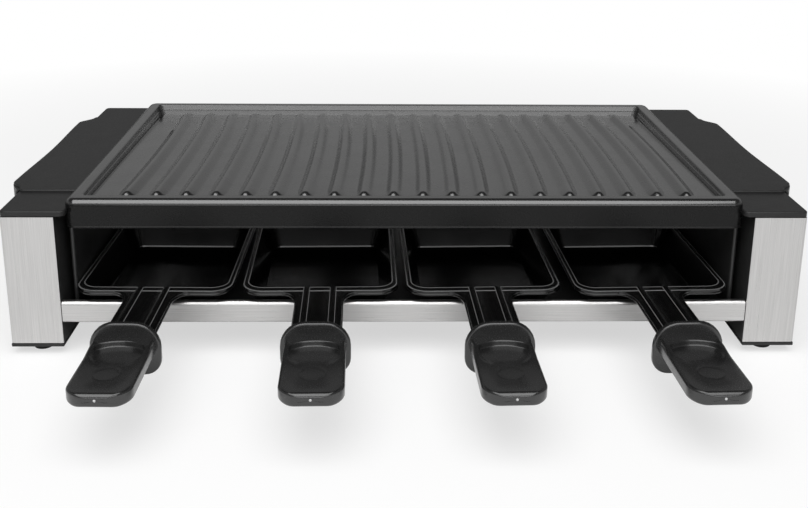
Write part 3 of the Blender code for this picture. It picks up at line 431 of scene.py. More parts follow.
def brushed_look(name, stretch, value=0.62):
    """Brushed stainless: hairlines from noise drawn out along the brushing."""
    look = Finish(name, hue(value, 0.01), 0.32, 1.0)
    lines = look.noise(2300, 5, stretch)
    look.colour(lines, hue(value * 0.84, 0.01), hue(value * 1.08, 0.01), 0.25, 0.75)
    look.roughness(lines, 0.26, 0.38)
    look.bump(lines, 0.000012, 0.5)
    return look.material


def metal_look(name, value, roughness):
    """Plain plated or turned metal with a faint unevenness."""
    look = Finish(name, hue(value), roughness, 1.0)
    pattern = look.noise(900, 3)
    look.roughness(pattern, roughness * 0.8, roughness * 1.25)
    look.bump(pattern, 0.000006, 0.5)
    return look.material


def element_look():
    """A steel sheath that heat has darkened in patches from straw to blue grey."""
    look = Finish("element_sheath", hue(0.16), 0.42, 1.0)
    look.colour(look.noise(38, 3), (0.20, 0.165, 0.13, 1), (0.10, 0.105, 0.125, 1))
    look.roughness(look.noise(700, 3), 0.35, 0.52)
    look.bump(look.noise(1600, 2), 0.00002, 0.5)
    return look.material


def enamel_look():
    """Black enamelled sheet with a faint orange peel."""
    look = Finish("black_enamel", hue(0.028), 0.38).set("Specular IOR Level", 0.7)
    look.roughness(look.noise(80, 3), 0.34, 0.42)
    look.bump(look.noise(420, 2), 0.00002, 0.3)
    return look.material


def ceramic_look():
    """Unglazed ceramic, slightly mottled."""
    look = Finish("unglazed_ceramic", (0.78, 0.74, 0.66, 1), 0.62)
    look.colour(look.noise(220, 4), (0.72, 0.68, 0.60, 1), (0.82, 0.79, 0.72, 1))
    look.bump(look.noise(1500, 3), 0.00004, 0.5)
    return look.material


def lens_look():
    """A clear red lens over a moulded prism pattern."""
    look = Finish("red_lens", (0.62, 0.02, 0.015, 1), 0.12)
    look.colour(look.noise(900, 2), (0.45, 0.012, 0.01, 1), (0.78, 0.04, 0.025, 1))
    look.bump(look.noise(700, 0, kind="ShaderNodeTexVoronoi"), 0.00006, 0.4)
    look.set("Coat Weight", 0.6)
    return look.material


cast = cast_look()
nonstick = pan_look()
plastic = moulded_look("black_plastic", 0.016, 0.42, 1500, 0.00002)
housing_plastic = moulded_look("housing_plastic", 0.032, 0.45, 1500, 0.00002, 0.45)
grip_plastic = moulded_look("grip_plastic", 0.011, 0.24, 1900, 0.000006, 0.8, 0.15)
pale_plastic = moulded_look("pale_plastic", 0.55, 0.4, 900, 0.00001)
knob_plastic = moulded_look("knob_plastic", 0.014, 0.36, 1900, 0.000015)
brushed_up = brushed_look("brushed_steel_upright", (1, 1, 0.012))
brushed_across = brushed_look("brushed_steel_across", (0.012, 1, 1))
bright = metal_look("bright_steel", 0.72, 0.20)
pin_steel = metal_look("pin_steel", 0.85, 0.36)
sheath = element_look()
enamel = enamel_look()
rubber = moulded_look("rubber", 0.022, 0.80, 1100, 0.00006)
ceramic = ceramic_look()
bakelite = moulded_look("bakelite", 0.055, 0.48, 1300, 0.00003)
lens = lens_look()
mica = moulded_look("terminal_ceramic", 0.70, 0.5, 900, 0.00003)


# The grill plate

PLATE_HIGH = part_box("grill_plate")[1]
PLATE_TOP = PLATE_HIGH.z
PLATE_HALF = (PLATE_HIGH.x, PLATE_HIGH.y)
PLATE_CORNER = 6.5 * MM
FLOOR_DEPTH = 7 * MM
GRILL_FLOOR = PLATE_TOP - FLOOR_DEPTH
WALL_INSET = 8.8 * MM
FLOOR_INSET = 13.2 * MM
FLOOR_ENDS = np.array((106.2, 106.9)) * MM
FLOOR_THICK = 2 * MM
RIB_COUNT = 20
OUTER_RIB_INSET = 30.6 * MM
RIB_PITCH = 2 * (PLATE_HALF[0] - OUTER_RIB_INSET) / (RIB_COUNT - 1)
RIBS_OFF_CENTRE = 1.2 * MM
RIB_HALF = 5.9 * MM
RIB_END_HALF = 4.5 * MM
FLOOR_RISE = 3.8 * MM
RIB_HEIGHT = 2.6 * MM
RIB_REACH = 105.5 * MM
RIB_BOW = 2.5 * MM
RIB_GROWTH = 13 * MM
VALLEY_SHARES = (-1.579, 1.29)
VALLEY_SPAN = 0.579
PIN_AT, PIN_HEIGHT = middle_of("plate_pin_rear_right")[1:]
PIN_ARCH = 2 * MM


def floor_rise(y):
    """The floor's rise at a depth: a straight line from none at the rear edge to all of it at the front."""
    return FLOOR_RISE * (1 - y / PLATE_HALF[1]) / 2


def plate_rim():
    """The casting outside the ribs: a section from the gutter over the rim, down the skirt and back under,
    carried round a rectangle with round corners. The inner wall is drawn up with the floor: all of the rise
    at its foot, none at the rim. Over each pin the skirt is raised to a round arch."""
    section = eased_mm([
        (14.5, -0.25), (12.9, -0.1), (12.4, -0.9), (11.3, -0.9), (10.25, 3.0), (9.85, 3.3), (8.9, 7),
        (0, 7), (0, -8.9), (-0.3, -9.2), (-0.3, -10), (4, -10), (5, -5), (9, -5),
    ], (0.4, 0.2, 0.3, 0.15, 0.15, 0.9, 4.2, 0.2, 0.2, 0.3, 0.6, 1.5), 7, 0.06 * MM)
    inset = section[:, 0]
    radius = np.maximum(PLATE_CORNER - inset, 3 * MM)
    off = np.array((-2.05, -2.0, -1.7, -1.2, -0.6, 0, 0.6, 1.2, 1.7, 2.0, 2.05)) * MM
    along = np.concatenate([off - PIN_AT, off + PIN_AT])
    loops = round_rectangle(PLATE_HALF[0] - inset, PLATE_HALF[1] - inset, radius, 10)
    corner = loops.shape[1] // 4
    side = np.stack(np.broadcast_arrays((PLATE_HALF[0] - inset)[:, None], along), -1)
    loops = np.concatenate([loops[:, :2 * corner], side[:, ::-1] * (-1, 1), loops[:, 2 * corner:], side], 1)
    rings = raised(loops, GRILL_FLOOR + section[:, 1])
    drawn = np.clip(1 - section[:, 1] / (PLATE_TOP - GRILL_FLOOR), 0, 1) * (inset > WALL_INSET)
    rings[..., 2] += drawn[:, None] * floor_rise(loops[..., 1])
    from_pin = np.abs(np.abs(loops[..., 1]) - PIN_AT)
    arch = PIN_HEIGHT + np.sqrt(np.maximum(PIN_ARCH ** 2 - from_pin ** 2, 0))
    notched = (from_pin < PIN_ARCH + 0.01 * MM) & (np.abs(loops[..., 0]) > PLATE_HALF[0] - 14 * MM)
    rings[..., 2] = np.where(notched, np.maximum(rings[..., 2], arch), rings[..., 2])
    return shell(rings)


def rib_height(off_middle, off_end, half_width):
    """How high a rib stands: by the distance to its centre line, held in a round end, over its half width, it
    falls from the crest to the floor in a smooth step."""
    past = np.maximum(half_width - off_end, 0)
    return RIB_HEIGHT * (1 - smooth_step(np.hypot(off_middle, past) / half_width, 0.10, 1.0))


def ribbed_floor():
    """The sloping floor with its ribs as one height over a grid. Columns follow the ribs' own bow, RIB_BOW
    times one less the square of the share of their length, and narrow with them towards the ends. Past 1, a
    column's share less 1, over VALLEY_SPAN, is its way from the rib's side to the middle of the valley."""
    across = np.linspace(0, 1, 11)
    offsets = np.concatenate([-across[::-1], across[1:]])
    centres = (np.arange(RIB_COUNT) - (RIB_COUNT - 1) / 2) * RIB_PITCH + RIBS_OFF_CENTRE
    shares = np.concatenate([VALLEY_SHARES[:1], offsets, VALLEY_SHARES[1:]])
    rib, share = np.meshgrid(np.arange(RIB_COUNT), shares, indexing="ij")
    rib, share = rib.ravel(), share.ravel()
    steps = np.linspace(0, 1.6, 7), np.linspace(2.1, 6.1, 9), np.linspace(7.2, 14, 7)
    ends = RIB_REACH - np.concatenate(steps) * MM
    middle = np.linspace(-ends[-1], ends[-1], 26)[1:-1]
    y = np.concatenate([-FLOOR_ENDS[::-1], -ends, middle, ends[::-1], FLOOR_ENDS])
    off_end = np.maximum(RIB_REACH - np.abs(y), 0)
    grow = np.clip(off_end / RIB_GROWTH, 0, 1)
    half = RIB_END_HALF + (RIB_HALF - RIB_END_HALF) * np.sin(grow * math.pi / 2)
    bow = RIB_BOW * (1 - np.clip(np.abs(y) / RIB_REACH, 0, 1) ** 2)
    inside = np.clip(share, -1, 1)[None] * half[:, None]
    outside = np.sign(share) * np.maximum(np.abs(share) - 1, 0) / VALLEY_SPAN
    x = centres[rib] + inside + outside * (RIB_PITCH / 2 - half[:, None]) + bow[:, None]
    height = rib_height(np.abs(inside), off_end[:, None], half[:, None]) * (np.abs(share) <= 1)
    height = np.where(off_end[:, None] > 0, height, 0)
    edge = np.full((len(y), 1), PLATE_HALF[0] - FLOOR_INSET)
    x = np.concatenate([-edge, x, edge], 1)
    height = np.pad(height, ((0, 0), (1, 1)))
    base = np.broadcast_to((GRILL_FLOOR + floor_rise(y))[:, None], x.shape)
    top = np.stack([x, np.broadcast_to(y[:, None], x.shape), base + height], -1)
    under = top.copy()
    under[..., 2] = base - FLOOR_THICK
    return slab(top, under)


piece("plate_casting", [plate_rim(), ribbed_floor()], cast, "plate", "grill_plate", 50)


# Pans and grips

PAN_PITCH = 97.6 * MM
PAN_MIDDLE = 64 * MM
PAN_HALF = (45.75 * MM, 61 * MM)
PAN_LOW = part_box("pan_front_1")[0].z
PAN_TOP = PAN_LOW + PAN_HEIGHT
FRONT_EXTRA = 3 * MM
PAN_GAP = 6.1 * MM
PANS_ASIDE = (0.13, -0.36, -0.74, -0.59)
PANS_TURNED = (-0.175, 0.175, 0.305, 0.35)
NECK_END = -120 * MM
NECK_HALF = 13.85 * MM
BAND_AT = 7.65 * MM


def pan_tray():
    """The pressed tray: its section runs from the middle of the underside up the drafted wall, round the
    turned lip, over the flange and down inside, carried round a rectangle whose corners tighten inwards.
    Inside the lip the rectangle is shorter at its front, where the flange is wider."""
    section = eased_mm([
        (16, 0), (9.9, 0), (2.6, 15.7), (1.1, 15.6), (1.0, 14.7), (0, 14.7), (0, 15.9), (0.6, 16.0),
        (0.6, 17.4), (1.1, 17.4), (1.5, 17.2), (2.8, 17.2), (3.3, 17.5), (3.7, 17.3), (10.15, 2.6),
        (10.4, 1.7), (10.9, 1.2), (17, 1.2),
    ], (1.6, 0.8, 0.2, 0.2, 0.25, 0.5, 0.1, 0.2, 0.15, 0.15, 0.3, 0.25, 0.25, 0.3, 0.15, 0.2), 5, 0.02 * MM)
    inset = section[:, 0]
    radius = np.interp(inset, np.array((0, 3.5, 10.7, 17)) * MM, np.array((12.5, 9.4, 6.0, 3.0)) * MM)
    shorter = FRONT_EXTRA / 2 * smooth_step(inset, 0.9 * MM, 2.5 * MM)
    loops = round_rectangle(PAN_HALF[0] - inset, PAN_HALF[1] - shorter - inset, radius, 9)
    loops[..., 1] += shorter[:, None]
    return shell(raised(loops, PAN_LOW + section[:, 1]))


def pan_neck():
    """The neck: a flat strip with a rolled edge and two raised bands, its half width a quarter of a circle
    wider where it leaves the flange. Its section is carried along the neck."""
    flare, flare_length = 8.25 * MM, 13 * MM
    y = np.concatenate([
        [-PAN_HALF[1] + 5.7 * MM, -PAN_HALF[1] + 2.9 * MM],
        -PAN_HALF[1] - flare_length * (1 - np.cos(np.linspace(0, math.pi / 2, 13))),
        np.linspace(-PAN_HALF[1] - 20 * MM, NECK_END + 0.3 * MM, 7),
    ])
    past = np.clip((-PAN_HALF[1] - y) / flare_length, 0, 1)
    half = NECK_HALF + flare * (1 - np.sqrt(1 - (1 - past) ** 2))
    under = 1.5 * MM
    corners = [(-1.2, -2.4), (0, -2.4), (0, -1.3), (-0.6, -1.2), (-0.6, 0), (-1.6, 0)]
    beads = eased_mm(corners, (0.3, 0.5, 0.1, 0.6), 4, 0.02 * MM)
    band = np.array((-2.0, -1.65, -1.3, 1.3, 1.65, 2.0)) * MM
    relief = np.array((0, 0.30, 0.60, 0.60, 0.30, 0)) * MM
    top_z = np.concatenate([[0.0], relief, [0.0], relief, [0.0]])
    rings = []
    for here, width in zip(y, half):
        side_x, side_z = width + beads[:, 0], beads[:, 1]
        edge = width - 2.2 * MM
        top_x = np.concatenate([[edge], BAND_AT - band, [0.0], -BAND_AT - band, [-edge]])
        x = np.concatenate([side_x, top_x, -side_x[::-1], [2 * under - width, width - 2 * under]])
        z = np.concatenate([side_z, top_z, side_z[::-1], [-under, -under]])
        rings.append(np.stack([x, np.full_like(x, here), z + PAN_TOP + 0.03 * MM], -1))
    return shell(np.array(rings))


GRIP_REAR = -184 * MM + PAN_MIDDLE
NECK_HEIGHT = PAN_TOP - 1.0 * MM
GUARD_HALF = 18.55 * MM
GUARD_TOP = 10.3 * MM
GUARD_LOW = -19.0 * MM
GUARD_THICK = 3.6 * MM
PADDLE_HALF = 16.1 * MM
PADDLE_TOP = 0.8 * MM
PADDLE_LOW = -6.2 * MM
GRIP_LENGTH = 57.4 * MM
RECESS_AT = 3.8 * MM
RECESS_HALF = 13.2 * MM


def grip_section(half, top, low, top_radius, low_radius):
    """A section of the grip: a rectangle with round corners as points (across, up)."""
    corner = np.linspace(0, math.pi / 2, 8)
    side = half - top_radius
    x = np.concatenate([
        half - low_radius + low_radius * np.sin(corner), half - top_radius + top_radius * np.cos(corner),
        np.linspace(side, -side, 65)[1:-1], -half + top_radius - top_radius * np.sin(corner),
        -half + low_radius - low_radius * np.cos(corner),
        np.linspace(low_radius - half, half - low_radius, 7)[1:-1],
    ])
    z = np.concatenate([
        low + low_radius - low_radius * np.cos(corner), top - top_radius + top_radius * np.sin(corner),
        np.full(63, top), top - top_radius + top_radius * np.cos(corner),
        low + low_radius - low_radius * np.sin(corner), np.full(5, low),
    ])
    return np.stack([x, z], -1)


def recess_bow(x):
    """How far the recess's rear edge lies forward of its middle: a power of the share of its half width, and
    a quarter circle at each end."""
    off, corner = np.abs(x), 2.6 * MM
    past = np.clip(off - RECESS_HALF + corner, 0, corner)
    return 4.6 * MM * np.clip(off / RECESS_HALF, 0, 1) ** 2.2 + corner - np.sqrt(corner ** 2 - past ** 2)


def paddle_relief(x, along):
    """How far the top stands over the paddle's flat. It is highest at the guard and runs out beside the thumb
    recess, whose rear wall follows the bowed edge. In front the recess is a shallow dish with a fine ring."""
    off = np.abs(x)
    edge = RECESS_AT + recess_bow(x)
    rise = 1.7 * MM * (1 - smooth_step(along, 7 * MM, 21 * MM))
    soft = 0.7 * MM + 9 * MM * smooth_step(along, 15 * MM, 30 * MM)
    inside = 1 - smooth_step(off, RECESS_HALF - soft, RECESS_HALF + 0.2 * MM)
    wall = smooth_step(along, edge, edge + 1.0 * MM)
    dish = -0.7 * MM * (1 - smooth_step(along, 38 * MM, 56 * MM))
    dish = dish - 0.5 * MM * (1 - smooth_step(along, 8 * MM, 26 * MM))
    ring = np.hypot(x, along - 35 * MM)
    groove = 0.14 * MM * np.exp(-((ring - 6.3 * MM) / (0.5 * MM)) ** 2)
    return rise + (dish - rise) * inside * wall - groove


def grip():
    """The grip from its guard to its tip: sections carried along it. The guard's edges are quarter circles,
    and the tip narrows as a circle in plan and rounds over as a smaller one at its edges."""
    ease = 1.0 * MM
    turn = np.linspace(0, math.pi / 2, 6)
    back, drawn = ease * (1 - np.cos(turn)), ease * (1 - np.sin(turn))
    along = np.concatenate([[0], back, GUARD_THICK - back[::-1], [GUARD_THICK]])
    inset = np.concatenate([[ease + HOLD], drawn, drawn[::-1], [ease + HOLD]])
    guard = np.array([
        np.insert(grip_section(GUARD_HALF - i, GUARD_TOP - i, GUARD_LOW + i, 13.5 * MM - i, 9 * MM - i), 1,
                  GRIP_REAR - here, axis=1)
        for here, i in zip(along, inset)
    ])
    plan_radius, tip_radius, edge = 11 * MM, 2.6 * MM, 1.6 * MM
    near_tip = GRIP_LENGTH - 2.9 * MM * (1 - np.sin(np.linspace(0, math.pi / 2, 11)))
    stations = np.concatenate([
        np.array((-1.5, 0)), np.linspace(0.6, 3.6, 6), np.linspace(3.75, 5.1, 12), np.linspace(5.5, 18, 32),
        np.linspace(18.7, 46, 40), np.linspace(46.6, 54, 14),
    ]) * MM
    rings = []
    for here in np.concatenate([stations, near_tip]):
        left = GRIP_LENGTH - here
        half = PADDLE_HALF - plan_radius + math.sqrt(plan_radius ** 2 - max(plan_radius - left, 0) ** 2)
        over = tip_radius - math.sqrt(tip_radius ** 2 - max(tip_radius - left, 0) ** 2)
        outline = grip_section(half, PADDLE_TOP - over, PADDLE_LOW + over * 0.6, edge, edge)
        on_top = np.clip((outline[:, 1] - (PADDLE_TOP - over - edge)) / edge, 0, 1)
        carried = np.clip(here / RECESS_AT, 0, 1) * (1 - smooth_step(here, 6 * MM, 34 * MM))
        along_it = here + recess_bow(outline[:, 0]) * carried
        outline[:, 1] += paddle_relief(outline[:, 0], along_it) * on_top * smooth_step(left, 0.2 * MM, 4 * MM)
        rings.append(np.insert(outline, 1, GRIP_REAR - GUARD_THICK - along_it, axis=1))
    tip = rings[-1]
    rings.append(tip.mean(0) + (tip - tip.mean(0)) * 0.96)
    # painted glint: a small pale dot set in the end face of the tip
    painted_glint_mark = turned(
        np.array(((0.7, 0.3), (0.7, 0), (0.5, -0.25), (0.2, -0.35))) * MM,
        (0, GRIP_REAR - GUARD_THICK - GRIP_LENGTH, -2.2 * MM), "y", 16,
    )
    raised_up = (0, 0, NECK_HEIGHT)
    return [(points + raised_up, *faces) for points, *faces in (shell(guard), shell(np.array(rings)), painted_glint_mark)]


tray, neck, grip_parts = pan_tray(), pan_neck(), grip()
for row, side in (("front", -1), ("rear", 1)):
    for i in range(4):
        x, turn = (i - 1.5) * PAN_PITCH, math.pi
        if side < 0:
            x, turn = x + PANS_ASIDE[i] * PAN_GAP, math.asin(PANS_TURNED[i] * PAN_GAP / PAN_HALF[1])
        name = f"{row}_{i + 1}"
        at = dict(x=x, y=side * PAN_MIDDLE, turn=turn)
        parts = [placed(part, **at) for part in (tray, neck)]
        piece(f"pressed_pan_{name}", parts, nonstick, f"pan_body_{name}", f"pan_{name}", 50)
        *parts, dot = [placed(part, **at) for part in grip_parts]
        piece(f"moulded_grip_{name}", parts, grip_plastic, f"pan_body_{name}", f"grip_{name}", 50)
        # painted glint: the pale dot at each grip's tip
        piece(f"painted_glint_dot_{name}", [dot], pale_plastic, f"pan_body_{name}")


# Columns: steel covers, caps, liners and feet

COLUMN_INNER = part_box("right_housing")[0].x
COLUMN_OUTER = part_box("right_steel_cover")[1].x
HALF_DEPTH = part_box("right_steel_cover")[1].y
COVER_LOW, COVER_HIGH = (corner.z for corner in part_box("right_steel_cover"))
COVER_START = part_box("right_steel_cover")[0].x
SHEET = 0.8 * MM
CAP_INWARDS = 1 * MM
CAP_PLATE_MM = (84.9, 88.2)
CAP_RAISED_MM = (86.4, 89.7)
CAP_FLANGE_MM = (78.7, 88.4)
CARRY_REACH = 7.8 * MM
CARRY_WAIST = 1.6 * MM
CARRY_HALF = 89 * MM
CARRY_RAMP = 17 * MM


def steel_cover():
    """The cover: one sheet bent round the column's front, outside and rear, carried up the column."""
    x, y = COLUMN_OUTER - SHEET / 2, HALF_DEPTH - SHEET / 2
    path = eased([(COVER_START, -y), (x, -y), (x, y), (COVER_START, y)], (1.8 * MM, 1.8 * MM), 8)
    return folded(path, SHEET, (COVER_LOW, COVER_LOW + HOLD, COVER_HIGH - HOLD, COVER_HIGH))


def offset(loop, distance):
    """A closed loop drawn in by a distance along its normals."""
    along = unit(np.roll(loop, -1, 0) - np.roll(loop, 1, 0))
    return loop + distance * np.stack([-along[:, 1], along[:, 0]], -1)


def carry_plan(inner, outer_start, corner):
    """The carry grip in plan, anticlockwise: a straight inner side, and an outer side that swells over a ramp
    to its reach and draws in by a cosine to a slight waist. Its four corners are quarter circles."""
    half, ramp = CARRY_HALF, CARRY_RAMP
    reach = COLUMN_OUTER + CARRY_REACH - outer_start
    end = half - corner
    y = np.concatenate([np.linspace(-end, -half + ramp, 14), np.linspace(-half + ramp, half - ramp, 30)[1:-1],
                        np.linspace(half - ramp, end, 14)])
    swell = smooth_step(end - np.abs(y), 0, ramp - corner)
    draw = CARRY_WAIST * np.cos(np.clip(y / (half - ramp), -1, 1) * math.pi / 2) ** 2
    outer = np.stack([outer_start + reach * swell - draw, y], -1)
    turn = np.linspace(0, math.pi / 2, 8)[:, None]
    arc = corner * np.concatenate([np.cos(turn), np.sin(turn)], 1)
    out = outer_start - corner
    far = np.vstack([arc[1:] + (out, end), (arc * (-1, 1))[::-1] + (inner + corner, end)])
    near = np.vstack([arc * (-1, -1) + (inner + corner, -end), (arc * (1, -1))[::-1][:-1] + (out, -end)])
    return np.vstack([outer, far, near])


def plan_body(loop, section, middle):
    """A flat outline carried up a section of (inset, height)."""
    loops = np.array([offset(loop, inset) for inset in section[:, 0]])
    return shell(raised(loops, section[:, 1]), middle)


def cap():
    """A column's top: a flat plate, and over it the raised part with its carry grip turned down outside."""
    half_x = (COLUMN_OUTER - COLUMN_INNER + CAP_INWARDS) / 2
    middle = COLUMN_OUTER - half_x
    section = edge_section(CAP_PLATE_MM, (4, 4), (0.5, 0.9))
    inset = section[:, 0]
    loops = round_rectangle(half_x - inset, HALF_DEPTH - inset, np.maximum(3.2 * MM - inset, 0.4 * MM), 6)
    flat = shell(raised(loops + (middle, 0), section[:, 1]))
    over = edge_section(CAP_RAISED_MM, (1, 1.9), (0.3, 1.0), 6, 0.15 * MM)
    grip_part = plan_body(carry_plan(COLUMN_INNER - CAP_INWARDS, COLUMN_OUTER, 3.4 * MM), over, (middle, 0))
    down = edge_section(CAP_FLANGE_MM, (0.3, 0.3), (0.2, 0.2), 3, 0.02 * MM)
    start = COLUMN_OUTER + 0.3 * MM
    flange = plan_body(carry_plan(start, start + 1.2 * MM, 0.5 * MM), down, (start + 4 * MM, 0))
    return [flat, grip_part, flange]


def liner():
    """The reflector sheet beside the pans, its front and rear edges rolled back in a hem."""
    low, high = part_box("right_liner")
    x = low.x + SHEET / 2
    roll = 0.9 * MM
    turn = np.linspace(math.pi, 0, 9)
    y = low.y + roll + SHEET / 2
    front = np.stack([x + roll + roll * np.cos(turn), y - roll * np.sin(turn)], -1)[::-1]
    rear = front[::-1] * (1, -1)
    path = np.vstack([front[:1] + (0, 1.2 * MM), front, rear, rear[-1:] + (0, -1.2 * MM)])
    return folded(path, SHEET * 0.98, (low.z, low.z + HOLD, high.z - HOLD, high.z))


def foot(x, y):
    """A round rubber foot with an eased rim and a recess below."""
    corners = [(2.6, 4.2), (5.5, 4.2), (5.75, 0), (3.3, 0), (3.3, 1.4), (2.2, 1.4)]
    return turned(eased_mm(corners, (0.3, 0.8, 0.4, 0.3), 4, 0.1 * MM), (x, y, 0))


for word, side in (("left", -1), ("right", 1)):
    for name, parts, look, slot, node in (
        ("steel_wrap", [steel_cover()], brushed_up, "brushed", "steel_cover"),
        ("carry_cap", cap(), plastic, "plastic", "cap"),
        ("reflector", [liner()], enamel, "sheet", "liner"),
    ):
        parts = [mirrored(part) for part in parts] if side < 0 else parts
        piece(f"{name}_{word}", parts, look, "body", f"{word}_{node}")
    for where in ("front", "rear"):
        node = f"foot_{where}_{word}"
        x, y = middle_of(node)[:2]
        piece(f"rubber_{node}", [foot(x, y)], rubber, "body", node)


# Beams

def beam(sign):
    """A beam: one sheet bent back at its top edge and its bottom edge, carried from column to column."""
    low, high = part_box("front_beam")
    t = SHEET / 2
    front, back = -low.y - t, -high.y
    corners = [(back, low.z + t), (front, low.z + t), (front, high.z - t), (back, high.z - t)]
    path = eased(corners, (1.4 * MM, 2.2 * MM), 8, 0.15 * MM) * (sign, 1)
    return folded(path, SHEET, (low.x, low.x + 1 * MM, 0, high.x - 1 * MM, high.x), "yzx")


piece("front_steel_beam", [beam(-1)], brushed_across, "body", "front_beam")
piece("rear_steel_beam", [beam(1)], brushed_across, "body", "rear_beam")


# Heating element, pins, screws and the control side

ELEMENT_RADIUS = 3.5 * MM


def element_path():
    """The loop's centre line: straight runs with quarter circles at its corners, ending in two leads."""
    low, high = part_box("heating_element")
    west, half_depth = low.x + ELEMENT_RADIUS, high.y - ELEMENT_RADIUS
    east, lead, end = 163 * MM, 20 * MM, high.x
    corners = [
        (end, -lead), (east, -lead), (east, -half_depth), (west, -half_depth),
        (west, half_depth), (east, half_depth), (east, lead), (end, lead),
    ]
    flat = eased(corners, np.full(6, 12 * MM), 8, 2 * MM)
    return np.column_stack([flat, np.full(len(flat), (low.z + high.z) / 2)])


element = tube(element_path(), ELEMENT_RADIUS)
piece("sheathed_element", [element], sheath, "body", "heating_element", 60)


def reach_of(node):
    """How far a node reaches across, in millimetres."""
    low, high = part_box(node)
    return (high.x - low.x) / MM


def fastener(node, side, section):
    """A section of (radius, distance from the inner end) turned about the middle of a node."""
    low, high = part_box(node)
    section[:, 1] = (low.x if side > 0 else high.x) + side * section[:, 1]
    return turned(section, (0, *middle_of(node)[1:]), "x", 32)


def pin(node, side):
    """A bright pin with a domed head on the column's side and an eased tip under the plate's skirt."""
    reach, radius, head = reach_of(node), 1.65, 2.4
    neck = reach - 1.6
    corners = [(0, 0), (radius, 0), (radius, neck), (head, neck), (head, reach), (0, reach)]
    return fastener(node, side, eased_mm(corners, (0.4, 0.1, 0.2, 0.6), 4, 0.05 * MM)[1:-1])


def liner_screw(node, side):
    """A domed screw head with a socket in it, on a short shank."""
    reach = reach_of(node)
    corners = [
        (0.2, 0.9), (1.1, 0.9), (1.1, 0.1), (2.6, 0.25), (3.0, 1.5), (1.5, 1.5), (1.5, reach), (0.3, reach),
    ]
    return fastener(node, side, eased_mm(corners, (0.1, 0.15, 0.9, 0.15, 0.1, 0.3), 4, 0.05 * MM))


for word, side in (("left", -1), ("right", 1)):
    for where in ("front", "rear"):
        node = f"plate_pin_{where}_{word}"
        piece(f"bright_{node}", [pin(node, side)], pin_steel, "body", node)
        node = f"liner_screw_{where}_{word}"
        piece(f"domed_{node}", [liner_screw(node, side)], bright, "body", node)


CONTROL_HEIGHT = 46 * MM
FLUTES = 36
FLUTE_DEPTH_SHARE = 0.022


def bar_on_side(section, half_width, half_length, corner, least_corner, steps, height):
    """A bar with round corners, carried outwards from the column's side up a section of (inset, distance)."""
    inset = section[:, 0]
    corner = np.maximum(corner - inset, least_corner)
    loops = round_rectangle(half_width - inset, half_length - inset, corner, steps)
    return shell(raised(loops, COLUMN_OUTER + section[:, 1])[..., [2, 0, 1]] + (0, 0, height))


def knob():
    """The knob: a skirted, finely fluted round, its radius rippling with the angle, and a finger bar."""
    corners = [(4, 0.3), (17, 0.3), (17, 2.2), (15.6, 3.0), (14.2, 6.3), (3, 6.3)]
    section = eased_mm(corners, (0.4, 0.6, 0.5, 1.2), 5, 0.1 * MM)
    section[:, 1] += COLUMN_OUTER
    points, quads, fans = turned(section, (0, 0, CONTROL_HEIGHT), "x", 4 * FLUTES)
    radial = points[:, 1:] - (0, CONTROL_HEIGHT)
    angle = np.arctan2(radial[:, 1], radial[:, 0])
    reach = np.hypot(radial[:, 0], radial[:, 1])
    side_zone = smooth_step(points[:, 0], COLUMN_OUTER + 2.6 * MM, COLUMN_OUTER + 3.4 * MM)
    side_zone = side_zone * smooth_step(reach, 12.5 * MM, 13.6 * MM)
    shrink = 1 - FLUTE_DEPTH_SHARE * side_zone * (0.5 - 0.5 * np.cos(FLUTES * angle))
    points[:, 1:] = (0, CONTROL_HEIGHT) + radial * shrink[:, None]
    bar = edge_section((5.8, 9.3), (1.2, 1.5), (0.2, 1.2), 5, 0.1 * MM)
    bar = bar_on_side(bar, 3.5 * MM, 14.6 * MM, 3.2 * MM, 0.6 * MM, 8, CONTROL_HEIGHT)
    return [(points, quads, fans), bar]


def pointer():
    """The pale line that shows where the knob points, set in the top of its bar."""
    line = edge_section((9.0, 9.35), (0.4, 0.4), (0.05, 0.1), 2, 0.02 * MM)
    return bar_on_side(line, 0.6 * MM, 4.2 * MM, 0.5 * MM, 0.08 * MM, 5, CONTROL_HEIGHT + 9.2 * MM)


piece("fluted_knob", knob(), knob_plastic, "knob", "thermostat_knob", 50)
piece("knob_pointer", [pointer()], pale_plastic, "knob")


def lamp():
    """The pilot lamp: a flanged bezel with a domed lens."""
    section = np.array([
        (0.5, -9.4), (3.9, -9.4), (3.9, 0.3), (5.0, 0.3), (5.0, 0.9), (4.7, 1.25), (3.6, 1.35), (3.3, 1.25),
        (3.0, 1.55), (2.2, 1.85), (1.2, 2.0), (0.4, 2.05),
    ]) * MM
    section[:, 1] = np.minimum(section[:, 1] + COLUMN_OUTER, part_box("pilot_lamp")[1].x)
    return turned(section, (0, *middle_of("pilot_lamp")[1:]), "x", 40)


piece("lamp_lens", [lamp()], lens, "body", "pilot_lamp", 50)


def gland():
    """The cable gland: a flange and a plain sleeve round an open bore."""
    front, back = (corner.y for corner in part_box("cable_gland"))
    x, _, z = middle_of("cable_gland")
    bore, edge = 3.25 * MM, 0.3 * MM
    section = np.array([
        (bore, front + edge), (bore + edge, front), (5.4 * MM, front), (5.4 * MM, back - 3.0 * MM),
        (7.5 * MM, back - 3.0 * MM), (7.5 * MM, back - 1.4 * MM), (6.6 * MM, back - 0.5 * MM),
        (4.6 * MM, back), (bore + edge, back), (bore, back - edge),
    ])
    return hollow(rings_round(section, (x, 0, z), "y", 40))


piece("rubber_gland", [gland()], rubber, "body", "cable_gland", 45)


# CAD nodes that keep their shape

